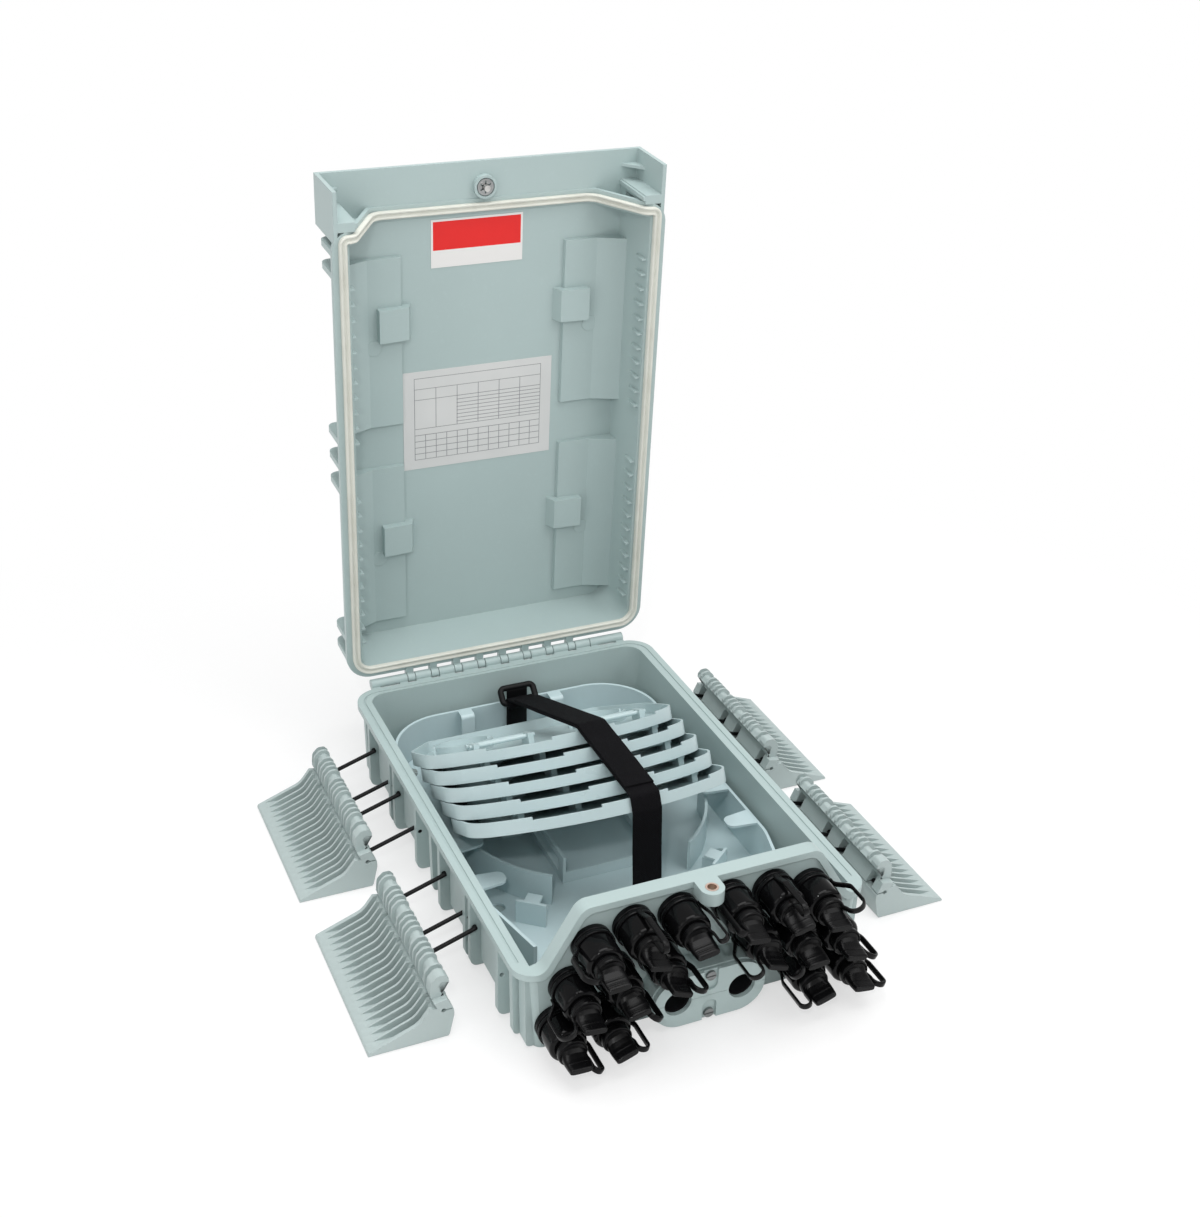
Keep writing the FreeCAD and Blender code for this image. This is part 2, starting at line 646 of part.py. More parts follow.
def tilted(shape, y, z):
    """A flat tray turned to its resting slope on its pivot."""
    copy = shape.copy()
    copy.rotate(V(0, 0, 0), V(1, 0, 0), -TRAY_TILT)
    copy.translate(V(0, y, z))
    return copy


def lid_fins():
    """Guard fins on the lid sides that flank the latch hooks."""
    return [prism(GUARD, "y", y - 2, y + 2, [0, 0, 6, 0]) for y in GUARD_PLACES]


def lid_shell():
    """The closed lid's drafted shell with its rim, guard fins and the hood over the front wall."""
    inner_top = LID_TOP - LID_SKIN
    front, inside = LID_GABLE
    (foot_x, foot_y), (crown_x, crown_y) = LID_FOOT, LID_CROWN
    shell = loft(rectangle(foot_x, front, foot_y, LID_RIM, 1, 14),
                 rectangle(crown_x, front, crown_y, LID_TOP, 1, 14))
    flange = slab(RIM_X, -RIM_Y, RIM_Y, LID_RIM, LID_RIM + LID_FLANGE, *RIM_CORNERS)
    flange = flange.cut(box(-105, 105, -RIM_Y - 1, -150, LID_RIM - 1, LID_RIM + 10))
    hood = box(-HOOD_X, HOOD_X, HOOD_FRONT, HOOD_BACK, LID_RIM, LID_TOP)
    hood_x = HOOD_X - HOOD_WALL
    hood = hood.cut(box(-hood_x, hood_x, HOOD_FRONT - 1, HOOD_BACK - HOOD_WALL, LID_RIM - 1, inner_top))
    roof = box(-108, 108, HOOD_BACK - 3.5, front + 2, inner_top, LID_TOP)
    link = box(99.5, HOOD_X, HOOD_BACK - 3.5, inside, LID_RIM, LID_TOP)
    link = link.cut(box(0, 111, -165, -150, LID_RIM - 1, inner_top - 8))
    (foot_x, foot_y), (crown_x, crown_y) = LID_HOLLOW_FOOT, LID_HOLLOW_CROWN
    cavity = loft(rectangle(foot_x, inside + 0.1, foot_y, LID_RIM - 1, 1, 12),
                  rectangle(crown_x, inside + 0.1, crown_y, inner_top, 1, 12))
    shell = joined([shell, flange, hood, roof] + both([link] + lid_fins())).cut(cavity)
    mouth = box(-ARCH_HALF, ARCH_HALF, -185, -150, LID_RIM - 1, inner_top)
    return shell.cut(mouth).cut(box(-106.6, 106.6, front - 0.5, inside + 0.5, LID_RIM - 1, inner_top))


def lid_details():
    """Pads, wedge blocks, wall teeth, round marks and the hood gusset on the lid's right half."""
    top, root = LID_TOP - LID_SKIN, LID_TOP - LID_SKIN + 1
    face = top - LID_PAD_RISE
    pad = [(58, root), (58.8, face), (82, face - 0.2), (104, face - 9), (104, root)]
    wedge = [(51, root), (55, face - 4.5), (76, face - 6), (76, root)]
    gusset = [(112, top - 14), (112, root + 1), (97, root + 1)]
    tooth = [(104.5, 62), (104.5, 74), (101.5, 74), (100.2, 70), (100.2, 62)]
    out = [prism(gusset, "y", -181.5, -179.5)]
    out += [prism(wedge, "y", y0, y1) for y0, y1 in LID_WEDGES]
    for y0, y1 in LID_PADS:
        out.append(prism(pad, "y", y0, y1))
        step = (y1 - y0 - 12) / (LID_TEETH - 1)
        for y in [y0 + 6 + step * i for i in range(LID_TEETH)]:
            out.append(prism(tooth, "y", y - LID_TOOTH_HALF, y + LID_TOOTH_HALF))
    for x, y in LID_MARKS:
        out.append(rod(V(x - 3.5, y, face - 0.5), V(x - 3.5, y, root), LID_MARK_R))
    return out


def lid():
    """The lid closed: shell, arched seat for the gasket, gable, screw boss, details and knuckles."""
    crown = ARCH[2][1]
    over = GASKET_GAP + GASKET_HIGH
    seat = arch_band(over, over + 2.8)
    gable = [(-105, 62)] + shifted(ARCH, over + 1.5)[1:-1]
    gable += [(105, 62), (102, LID_TOP - 1), (-102, LID_TOP - 1)]
    gable = prism(gable, "y", LID_GABLE[0], LID_GABLE[1], [0, 9, 9, 9, 9, 0, 0, 0])
    boss = rod(V(0, SCREW_Y, crown + 0.7), V(0, SCREW_Y, LID_TOP), SCREW_BOSS_R + 0.5)
    shapes = [lid_shell(), seat, gable, boss] + hinge_barrels("lid") + both(lid_details())
    cuts = [pin_bore(), rod(V(0, SCREW_Y, crown), V(0, SCREW_Y, LID_TOP + 1), SCREW_SHANK_R + 0.5)]
    cuts.append(rod(V(0, SCREW_Y, crown), V(0, SCREW_Y, crown + 2.2), 6.2))
    return joined(shapes).cut(Part.makeCompound(cuts))


def gasket():
    """The seal in the closed lid: a rounded ring that climbs over the arch."""
    low, high = RIM_Z + GASKET_GAP, LID_RIM
    (x, y), front, width = GASKET_OUTER, GASKET_FRONT, GASKET_WIDTH
    corners = (10, 14)
    inner = [corner - width for corner in corners]
    ring = slab(x, front, y, low, high, *corners)
    ring = ring.cut(slab(x - width, front + width, y - width, low - 1, high + 1, *inner))
    arch_bay = box(-105, 105, front - 1, -150, low - 1, high + 1)
    line = [(-x, RIM_Z)] + ARCH[1:-1] + [(x, RIM_Z)]
    climb = strip(line, GASKET_GAP, GASKET_GAP + GASKET_HIGH, "y", front, front + width, ARCH_BENDS)
    climb = climb.common(slab(x, front, y, low - 1, LID_TOP, *corners))
    climb = climb.common(box(3 - x, x - 3, front, -150, low - 1, LID_TOP))
    return joined([ring.cut(arch_bay), climb])


def lid_screw():
    """The captive screw: slotted head and plain shank."""
    seat = LID_TOP + 0.3
    head = rod(V(0, SCREW_Y, seat), V(0, SCREW_Y, seat + 3.5), SCREW_HEAD_R)
    slot = box(-6, 6, SCREW_Y - 0.7, SCREW_Y + 0.7, seat + 2.3, seat + 5)
    shank = rod(V(0, SCREW_Y, 92.6), V(0, SCREW_Y, seat + 1), SCREW_SHANK_R)
    return joined([head.cut(slot), shank])


def screw_retainer():
    """The star washer that keeps the screw in the lid."""
    z = ARCH[2][1] + 1.0
    washer = rod(V(0, SCREW_Y, z), V(0, SCREW_Y, z + 0.8), SCREW_HEAD_R + 0.1)
    cuts = [rod(V(0, SCREW_Y, z - 1), V(0, SCREW_Y, z + 2), SCREW_SHANK_R + 0.2)]
    for i in range(6):
        notch = box(-0.5, 0.5, 2, 4.2, z - 1, z + 2)
        notch.rotate(V(0, 0, 0), V(0, 0, 1), 60 * i)
        cuts.append(moved(notch, 0, SCREW_Y))
    return washer.cut(Part.makeCompound(cuts))


def label(x0, x1, y0, y1):
    """A thin label on the inside of the closed lid."""
    top = LID_TOP - LID_SKIN - LABEL_GAP
    return box(x0, x1, y0, y1, top - LABEL_THICK, top)


def bails(centre):
    """Two wire bails for a latch on the right side."""
    (qx, qz), (px, pz) = BAIL_PIVOT, LATCH_PIVOT
    near, far = BAIL_LEGS
    out = []
    for sign in (1, -1):
        points = [V(qx, centre + sign * (near - 6), qz), V(qx, centre + sign * near, qz),
                  V(px, centre + sign * near, pz), V(px, centre + sign * far, pz),
                  V(qx, centre + sign * far, qz), V(qx, centre + sign * (far + 6), qz)]
        out.append(wire(points, WIRE_R))
    return out


def latch(centre):
    """One comb-backed latch on the right side, lying open."""
    low, high = centre - LATCH_HALF, centre + LATCH_HALF
    body = prism(LATCH_PROFILE, "y", low, high, LATCH_BENDS)
    px, pz = LATCH_PIVOT
    cuts = [rod(V(px, centre - 55, pz), V(px, centre + 55, pz), WIRE_R + WIRE_FIT)]
    pitch = 2 * (LATCH_HALF - LATCH_END) / LATCH_GROOVES
    for i in range(LATCH_GROOVES):
        y = low + LATCH_END + LATCH_RIB / 2 + pitch * i
        cuts.append(prism(LATCH_GROOVE, "y", y, y + pitch - LATCH_RIB))
    swing = [(px + a, pz + b) for a, b in LATCH_SWING]
    near, far = BAIL_LEGS
    for start, end in ((near - 2.2, near + 4.6), (far - 4.6, far + 2.2)):
        cuts.append(prism(swing, "y", centre + start, centre + end))
        cuts.append(prism(swing, "y", centre - end, centre - start))
    for start, end in ((low - 1, centre - HOOK_HALF), (centre + HOOK_HALF, high + 1)):
        cuts.append(box(138, 156.4, start, end, 28.4, 50))
    for i in range(LATCH_WINDOWS):
        y = centre + (i - LATCH_WINDOWS / 2) * LATCH_WINDOW_STEP
        cuts.append(prism(LATCH_WINDOW, "y", y + 0.3, y + 3.9))
        cuts.append(prism(LATCH_WINDOW, "y", y + 4.7, y + 7.9))
    for i in range(LATCH_VENTS):
        y = centre + (i - (LATCH_VENTS - 1) / 2) * LATCH_VENT_STEP
        cuts.append(prism(LATCH_VENT, "y", y - 1.6, y + 1.6))
    return body.cut(Part.makeCompound(cuts))


def strap():
    """The strap: an eye on the buckle bar, a run over the trays and the tail doubled on top."""
    x0, x1 = STRAP_X
    y, z = STRAP_PIVOT
    inner, outer = STRAP_EYE
    eye = rod(V(x0, y, z), V(x1, y, z), outer).cut(rod(V(x0 - 1, y, z), V(x1 + 1, y, z), inner))
    run = strip(STRAP_LINE, -STRAP_HALF, STRAP_HALF, "x", x0, x1, STRAP_BENDS)
    tail = strip(STRAP_TAIL, -STRAP_TAIL_TOP, 0.2 - STRAP_HALF, "x", x0, x1, STRAP_TAIL_BENDS)
    bore = rod(V(x0 - 1, y, z), V(x1 + 1, y, z), inner)
    return joined([eye, run, tail]).cut(bore)


def strap_buckle():
    """The tilted buckle frame with its round bars and the webbing that holds it to the insert."""
    (y, z), (top_y, top_z) = STRAP_PIVOT, BUCKLE_TOP
    x0, x1 = STRAP_X[0] - BUCKLE_GAP, STRAP_X[1] + BUCKLE_GAP
    shapes = [rod(V(x0 - 1, y, z), V(x1 + 1, y, z), BUCKLE_BAR_R),
              rod(V(x0 - 1, top_y, top_z), V(x1 + 1, top_y, top_z), BUCKLE_TOP_R)]
    for a, b in ((x0 - BUCKLE_SIDE, x0), (x1, x1 + BUCKLE_SIDE)):
        shapes.append(strip([(y, z), (top_y, top_z)], -BUCKLE_TOP_R, BUCKLE_TOP_R, "x", a, b, [0, 0]))
        for bar_y, bar_z in (STRAP_PIVOT, BUCKLE_TOP):
            shapes.append(rod(V(a, bar_y, bar_z), V(b, bar_y, bar_z), BUCKLE_TOP_R))
    web = [(top_y - 1.8, INSERT_Z[1] + 0.1), (top_y - 1.8, top_z - 2.0), (top_y, top_z + 1.8)]
    shapes.append(strip(web, -STRAP_HALF, STRAP_HALF, "x", STRAP_X[0] + 2, STRAP_X[1] - 2, [0, 2, 0]))
    return joined(shapes)


def hexagon(x, z, radius, start):
    """Corners of a hexagon that faces forward, the first at the start angle."""
    turns = [math.radians(start + 60 * i) for i in range(6)]
    return [(x + radius * math.cos(a), z + radius * math.sin(a)) for a in turns]


def adapter(x, z):
    """One hardened adapter: hexagonal flange, body with a chamfered end, and the inner spigot."""
    flange = prism(hexagon(x, z, ADAPTER_FLANGE_R, 0), "y", ADAPTER_FACE - 3.6, ADAPTER_FACE)
    shoulder = V(x, ADAPTER_END + 1.6, z)
    body = rod(V(x, ADAPTER_FACE - 1.8, z), shoulder, ADAPTER_R)
    tip = Part.makeCone(ADAPTER_R, ADAPTER_R - 1.6, 1.6, shoulder, V(0, -1, 0))
    spigot = rod(V(x, ADAPTER_FACE - 0.8, z), V(x, -149.5, z), ADAPTER_SPIGOT_R)
    bore = rod(V(x, -178, z), V(x, ADAPTER_END - 1, z), ADAPTER_BORE_R)
    return joined([flange, body, tip, spigot]).cut(bore)


def adapter_nut(x, z):
    """The lock nut on an adapter inside the wall."""
    nut = prism(hexagon(x, z, NUT_R, 30), "y", FRONT_WALL[1] + 0.2, FRONT_WALL[1] + 4.8)
    return nut.cut(rod(V(x, -170, z), V(x, -150, z), ADAPTER_SPIGOT_R + 0.1))


def lanyard(bow, reach):
    """The flat band that bows out from the adapter's ring and turns back to the cap's nose."""
    start, nose, turn_r = 12.9, 8.9, (bow - 8.9) / 2 - 0.05
    line = [V(start, -170.2, 0), V(start, -174, 0), V(bow, -182, 0), V(bow, -reach, 0),
            V(nose, -reach, 0), V(nose, -196, 0), V(7.4, -192.6, 0)]
    band = path(line, [0, 4, 4, turn_r, turn_r, 2, 0], False)
    half, thick = 1.5, 0.75
    ends = [V(start - thick, -170.2, -half), V(start + thick, -170.2, -half),
            V(start + thick, -170.2, half), V(start - thick, -170.2, half)]
    section = Part.Wire(Part.makePolygon(ends + ends[:1]))
    return band.makePipeShell([section], True, True)


def grip_end(x, y, z):
    """A flat rectangle across the cap's axis."""
    corners = [V(-x, y, -z), V(x, y, -z), V(x, y, z), V(-x, y, z)]
    return Part.Wire(Part.makePolygon(corners + corners[:1]))


def dust_cap(x, z, turn, aim, bow, reach):
    """A dust cap: plug, ringed nose, flat grip, and the lanyard back to its ring."""
    plug = rod(V(0, -180, 0), V(0, ADAPTER_END - 0.4, 0), 7.45)
    nose = rod(V(0, ADAPTER_END - 0.3, 0), V(0, -194.2, 0), 8.1)
    ring = rod(V(0, -191.2, 0), V(0, -193.6, 0), 8.75)
    grip = loft(grip_end(6.8, -193.8, 3.2), grip_end(7.3, -206, 1.2))
    grip.rotate(V(0, 0, 0), V(0, 1, 0), turn)
    hoop = rod(V(0, -169, 0), V(0, -171.4, 0), 12.75).cut(rod(V(0, -160, 0), V(0, -180, 0), 12.0))
    loop = lanyard(bow, reach)
    for piece in (hoop, loop):
        piece.rotate(V(0, 0, 0), V(0, 1, 0), -aim)
    cap = joined([plug, nose, ring, grip, hoop, loop])
    return moved(cap, x, 0, z)


def port_screw_places():
    """Heights of the two port plate screws."""
    offset = PORT_PLATE[1] - PORT_SCREW_IN
    return PORT_Z + offset, PORT_Z - offset


def port_plates():
    """Upper and lower halves of the cable port plate with cable holes and open screw notches."""
    half, radius = PORT_PLATE
    back, front = PORT_FACE - 0.2, PORT_FACE - 3.2
    plate = obround(half, radius, PORT_Z, front, back)
    cuts = both([rod(V(PORT_X, front - 1, PORT_Z), V(PORT_X, back + 1, PORT_Z), PORT_HOLE_R)])
    for z in port_screw_places():
        cuts.append(rod(V(0, front - 1, z), V(0, back + 1, z), 1.8))
        inner = PORT_Z + (z - PORT_Z) * 0.6
        low, high = sorted((inner, z + (z - PORT_Z)))
        cuts.append(rod(V(0, front - 1, inner), V(0, front + 1.6, inner), PORT_NOTCH))
        cuts.append(box(-PORT_NOTCH, PORT_NOTCH, front - 1, front + 1.6, low, high))
    plate = plate.cut(Part.makeCompound(cuts))
    upper = plate.common(box(-60, 60, front - 1, back + 1, PORT_Z + 0.1, 80))
    lower = plate.common(box(-60, 60, front - 1, back + 1, -10, PORT_Z - 0.1))
    return upper, lower


def port_seal():
    """The rubber block in the port tunnel with its two cable bores."""
    block = obround(PORT_PLATE[0], PORT_TUNNEL_R - 0.3, PORT_Z, PORT_FACE + 0.1, FRONT_WALL[1] + 3)
    bore = rod(V(PORT_X, -190, PORT_Z), V(PORT_X, -150, PORT_Z), PORT_HOLE_R - 0.75)
    return block.cut(Part.makeCompound(both([bore])))


def port_screws():
    """The two screws of the port plate."""
    out = []
    face = PORT_FACE - 3.4
    for z in port_screw_places():
        head = rod(V(0, face, z), V(0, face + 1.6, z), 3.2)
        slot = box(-4, 4, face - 1, face + 0.5, z - 0.5, z + 0.5)
        out.append(joined([head.cut(slot), rod(V(0, face + 1, z), V(0, face + 3, z), 1.6)]))
    return out


def insert_screws():
    """The four screws that hold the insert down."""
    out = []
    for x, y in INSERT_SCREWS:
        head = rod(V(x, y, 5.3), V(x, y, 7.4), 3.6)
        out.extend(both([joined([head, rod(V(x, y, 3.0), V(x, y, 6), 1.8)])]))
    return out


save("base", base())
save("base_insert", base_insert())
save("tray_bracket", tray_bracket())
flat_tray = tray()
for number, (pivot_y, pivot_z) in enumerate(tray_pivots(), 1):
    save("splice_tray_%d" % number, tilted(flat_tray, pivot_y, pivot_z))
save("lid", opened(lid()))
save("lid_gasket", opened(gasket()))
save("hinge_pin", pin_line(2, PIN_R))
save("lid_screw", opened(lid_screw()))
save("screw_retainer", opened(screw_retainer()))
tube = rod(V(0, SCREW_Y, SCREW_BOSS_FOOT + 1.7), V(0, SCREW_Y, ARCH[2][1] + 0.1), 3.95)
save("brass_insert", tube.cut(rod(V(0, SCREW_Y, 80), V(0, SCREW_Y, 100), 2.75)))
save("log_label", opened(label(*LOG_LABEL)))
save("colour_label", opened(label(*COLOUR_LABEL)))
for where, middle in LATCH_CENTRES.items():
    right_latch = latch(middle)
    right_bails = bails(middle)
    save("latch_right_" + where, right_latch)
    save("latch_left_" + where, mirrored(right_latch))
    save("bails_right_" + where, *right_bails)
    save("bails_left_" + where, *[mirrored(b) for b in right_bails])
save("strap", strap())
save("strap_buckle", strap_buckle())
plate_upper, plate_lower = port_plates()
save("port_plate_upper", plate_upper)
save("port_plate_lower", plate_lower)
save("port_seal", port_seal())
save("port_screws", *port_screws())
save("adapters", *[adapter(x, z) for x, z in adapter_places()])
save("adapter_nuts", *[adapter_nut(x, z) for x, z in adapter_places()])
cap_forms = zip(adapter_places(), CAP_TURN, LANYARD_AIM, LANYARD_BOW, LANYARD_REACH)
for number, ((cap_x, cap_z), turn, aim, bow, reach) in enumerate(cap_forms, 1):
    save("dust_cap_%02d" % number, dust_cap(cap_x, cap_z, turn, aim, bow, reach))
save("insert_screws", *insert_screws())
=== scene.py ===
"""Looks of a hinged fibre distribution box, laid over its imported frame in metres."""
import json
import math
from functools import cached_property
import bmesh
import bpy
import numpy as np
from mathutils import Matrix, Vector


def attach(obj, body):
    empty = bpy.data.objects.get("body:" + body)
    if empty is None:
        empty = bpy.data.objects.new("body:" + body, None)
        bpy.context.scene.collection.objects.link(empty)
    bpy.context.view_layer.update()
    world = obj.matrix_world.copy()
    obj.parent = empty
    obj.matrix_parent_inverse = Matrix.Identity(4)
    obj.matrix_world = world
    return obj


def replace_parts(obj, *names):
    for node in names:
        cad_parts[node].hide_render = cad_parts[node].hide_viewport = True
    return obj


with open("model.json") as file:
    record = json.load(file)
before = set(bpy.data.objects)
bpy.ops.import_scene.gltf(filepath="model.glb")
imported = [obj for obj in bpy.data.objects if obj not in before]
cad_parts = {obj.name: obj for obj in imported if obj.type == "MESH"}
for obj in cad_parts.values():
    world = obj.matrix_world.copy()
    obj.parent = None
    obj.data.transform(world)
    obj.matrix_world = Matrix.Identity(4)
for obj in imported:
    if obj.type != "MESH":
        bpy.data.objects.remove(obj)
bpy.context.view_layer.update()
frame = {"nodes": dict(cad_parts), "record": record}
nodes = frame["nodes"]
bodies = frame["record"]["behaviour"]["bodies"]
node_body = {node: body for body, members in bodies.items() for node in members}
node_slot = {row["node"]: row["material_slot"] for row in frame["record"]["subparts"]}
rng = np.random.default_rng(1607)

# Sizes in millimetres, as the frame has them; a finished surface is scaled to metres.
MM = 0.001
HINGE = np.array([0.0, 171.1, 57.3])
LID_OPEN = math.radians(87.4)
LOG_LABEL = (-58.0, 52.0, -48.0, 26.0)
COLOUR_LABEL = (-37.0, 28.0, -154.0, -121.0)
COLOUR_BORDER = 1.4
COLOUR_DEPTH = 21.0

# Ruled table on the log sheet, measured across and down from the sheet's corner.
TABLE_SIDES = (8.0, 102.0)
TABLE_ENDS = (5.0, 67.0)
TABLE_LINE = 0.4
TABLE_RULE = 0.45
TABLE_BARS = (13.0, 21.0, 43.0)
TABLE_COLUMN = 15.6
TABLE_ROW = 2.8
TABLE_ROWS_FROM = 39.0
TABLE_STRIP = (32.6, 34.8)
TABLE_GRID = 47.8
TABLE_CELL = (7.83, 4.75)

# Seal in the lid: its middle line over the rim and the arch, then one half of its profile.
RIM_TOP = 56.2
SEAL_LEVEL = 58.25
SEAL_SIDE = 108.3
SEAL_REAR = 159.4
SEAL_FRONT = -160.8
ARCH_FOOT = (99.5, 56.2)
ARCH_TOP = (76.0, 95.5)
SEAL_BENDS = [11.3, 3.6, 6.9, 11.0, 11.0, 6.9, 3.6, 11.3]
SEAL_LIP = [(0, 0.2), (0.6, 0.5), (1.1, 1.4), (1.8, 1.7), (2.4, 1.4), (2.7, 0.6), (2.6, -1.7)]

# Adapters and dust caps: the right half's centres as (x, z), sizes, then one value for each cap.
ADAPTERS = [(16.5, 76.5), (45.0, 76.0), (70.5, 69.5), (30.5, 53.0), (57.5, 46.5), (84.0, 43.5),
            (64.5, 18.0), (92.0, 17.5)]
ADAPTER_PLACES = [(side * x, z) for side in (1, -1) for x, z in ADAPTERS]
ADAPTER_R = 11.6
ADAPTER_BORE_R = 7.6
ADAPTER_SPIGOT_R = 9.3
ADAPTER_FACE = -164.2
COLLAR_R = 12.5
COLLAR_END = -167.8
ADAPTER_END = -187.0
SPIGOT_END = -149.5
SHOULDER_R = 2.6
COLLAR_ROUND = 0.7
LIP_ROUND = 0.5
BORE_END = ADAPTER_END + 8.0
THREAD = (SPIGOT_END - 0.8, SPIGOT_END - 9.8)
THREAD_PITCH = 1.5
THREAD_DEEP = 0.2
THREAD_POINTS = 46
TURNED_POINTS = 60
CAP_TURN = [8, -14, 5, 20, -6, 12, -18, 9, -9, 15, -4, 24, -12, 6, -20, 3]
LANYARD_AIM = [150, 95, 20, 200, 215, 330, 190, 340, 30, 85, 160, 340, 325, 200, 350, 330]
LANYARD_BOW = [14.5, 16, 20, 18, 18, 20, 16, 18, 14.5, 16, 20, 18, 18, 20, 16, 16]
LANYARD_REACH = [204, 207, 201, 205, 203, 202, 206, 203, 205, 207, 202, 204, 206, 201, 203, 205]

# A dust cap about its adapter's axis: ring and bends of the band are (radius, y), or y alone where the
# radius is given elsewhere; the band itself is (width, thickness, rounding).
CAP_RING = [(12.02, -169.0), (12.6, -169.05), (12.75, -169.4), (12.75, -171.0), (12.6, -171.35),
            (12.02, -171.4)]
LANYARD_FOOT = (12.9, -170.2)
LANYARD_LEAVES = -174.0
LANYARD_BOWED = -182.0
LANYARD_NOSE = (8.9, -196.0)
LANYARD_END = (7.4, -192.6)
LANYARD_BAND = (3.6, 1.6, 0.6)

# Stations of the cap's nose: place along Y, half width, half height, squareness and lift.
CAP_STATIONS = [
    (-181.0, 7.4, 7.4, 2.0, 0.0), (-187.0, 7.4, 7.4, 2.0, 0.0), (-187.3, 8.1, 8.1, 2.0, 0.0),
    (-188.8, 8.1, 8.1, 2.0, 0.0), (-189.1, 8.8, 8.8, 2.0, 0.0), (-189.6, 9.1, 9.1, 2.0, 0.0),
    (-192.2, 9.1, 9.1, 2.0, 0.0), (-192.8, 8.8, 8.8, 2.0, 0.0), (-193.0, 8.2, 8.2, 2.0, 0.0),
    (-192.6, 7.7, 7.2, 2.1, -0.1), (-193.0, 7.6, 4.8, 2.4, -0.6), (-195.0, 7.6, 3.4, 2.8, -1.0),
    (-198.0, 7.6, 2.5, 3.6, -1.4), (-202.0, 7.3, 2.0, 4.4, -1.6), (-205.4, 6.9, 1.9, 4.4, -1.7),
    (-206.0, 6.4, 1.5, 4.0, -1.7)]
CAP_RINGS = 121
CAP_POINTS = 40
CAP_RIBS = (-199.0, -205.2)
CAP_RIB_FADES = (1.5, 0.8)
CAP_RIB_PITCH = 1.3
CAP_RIB_HIGH = 0.2

# Latches lying open: the right side's section is drawn in (x, z); spans run along Y from a latch's middle.
LATCHES = {"latch_right_rear": (1, 75.0), "latch_right_front": (1, -77.0),
           "latch_left_rear": (-1, 75.0), "latch_left_front": (-1, -77.0)}
LATCH_HALF = 57.5
LATCH_CHEEK = 2.0
LATCH_STEP = 0.01
LATCH_PIVOT = (149.0, 20.0)
PIVOT_BORE_R = 1.5
PIVOT_MOUTH = 162
COMB_RIDGE = [(195.2, 0.2), (194.8, 2.0), (164.5, 13.6), (157.2, 23.2)]
COMB_RIDGE_BENDS = [0, 0.6, 12, 0]
COMB_GROOVE = [(195.2, 0.2), (194.8, 2.0), (189.8, 3.9), (176.0, 3.6), (164.0, 5.0), (158.6, 10.5),
               (156.4, 19.5)]
COMB_GROOVE_BENDS = [0, 0.6, 0, 10, 6, 6, 0]
COMB_POINTS = 40
GROOVES = 18
GROOVE_WIDE = 4.6
SLIT = [(154.8, 22.6), (153.0, 22.4), (153.8, 24.6)]
VENT = [(153.0, 21.4), (151.6, 20.6), (152.4, 23.4)]
VENTS = [-44.0, -17.5, 9.0, 35.5]
VENT_HALF = 1.8
HOOK_HALF = 53.0
HOOK_RIB = [(155.2, 27.4), (155.7, 31.0), (155.0, 38.0), (151.0, 42.0), (146.5, 41.8), (144.2, 39.0)]
HOOK_RIB_BENDS = [0, 3, 4, 3, 2, 0]
HOOK_RECESS = [(152.8, 28.4), (153.2, 31.2), (152.4, 36.6), (149.9, 39.3), (147.2, 39.3), (145.6, 37.6)]
HOOK_RECESS_BENDS = [0, 3, 3, 3, 1.5, 0]
HOOK_POINTS = 24
HOOK_CURL = [(144.0, 36.3), (148.4, 37.4), (150.6, 35.0), (149.5, 30.5)]
HOOK_CURL_BENDS = [0, 1.0, 1.5, 0]
CURL_POINTS = 10
HOOK_ROOT = [(154.8, 26.4), (147.2, 27.6)]
HOOK_GROUPS = 4
HOOK_RECESSES = [(1.8, 5.4), (7.2, 10.8), (12.6, 21.1), (22.8, 26.4)]
BACK_TOP = (146.7, 27.9)
BACK_LIPS = [(143.33, 20.46), (142.92, 19.54)]
BAIL_SLOT = [(148.0, 28.5), (150.75, 24.5), (150.75, 19.0), (149.0, 18.0), (143.0, 19.2)]
BAIL_SLOTS = [(6.8, 13.6), (43.4, 50.2), (-13.6, -6.8), (-50.2, -43.4)]
LATCH_FOOT = [(142.6, 16.5), (142.7, 14.5), (145.6, 1.6), (146.6, 0.2)]

# Strap over the splice trays, and its buckle: lines are (y, z), and the tail lies on the run.
STRAP_X = (-6.0, 14.0)
STRAP_PIVOT = (139.0, 38.5)
STRAP_EYE_R = 3.2
STRAP_LINE = [(140.3, 41.4), (11.0, 94.5), (-74.3, 94.5), (-79.2, 85.0), (-85.5, 9.0)]
STRAP_BENDS = [0, 8, 3, 4, 0]
STRAP_TAIL = [(124.8, 47.77), (11.0, 94.5), (-66.0, 94.5)]
STRAP_TAIL_BENDS = [0, 8, 0]
STRAP_TAIL_RISE = 1.45
STRAP_TAIL_NARROWER = 0.3
STRAP_THICK = 1.6
STRAP_EDGE = 0.45 * STRAP_THICK
STRAP_SWAY = 0.04
STRAP_SWAY_SPAN = 9
EYE_POINTS = 36
EYE_ROUND = 0.6
BUCKLE_TOP = (147.5, 46.8)
BUCKLE_BAR = 4.4
BUCKLE_ROUND = 1.8
BUCKLE_CORNER = 3.2
BUCKLE_SIDE = 2.7
BUCKLE_WEB = [(145.7, 5.2), (145.7, 44.8), (147.5, 48.6)]
BUCKLE_WEB_NARROWER = 4.0
BUCKLE_WEB_ROUND = 0.7

# Stage, in metres; the floor's whiteness to the eye is (distance from the middle, share).
FLOOR_REACH = 6.0
FLOOR_LEVEL = -0.0003
FLOOR_WHITE = ((0.25, 0.60), (0.65, 1.0))
ROOM_LIGHT = 0.54
LAMP_AIM = (0, 0, 0.12)

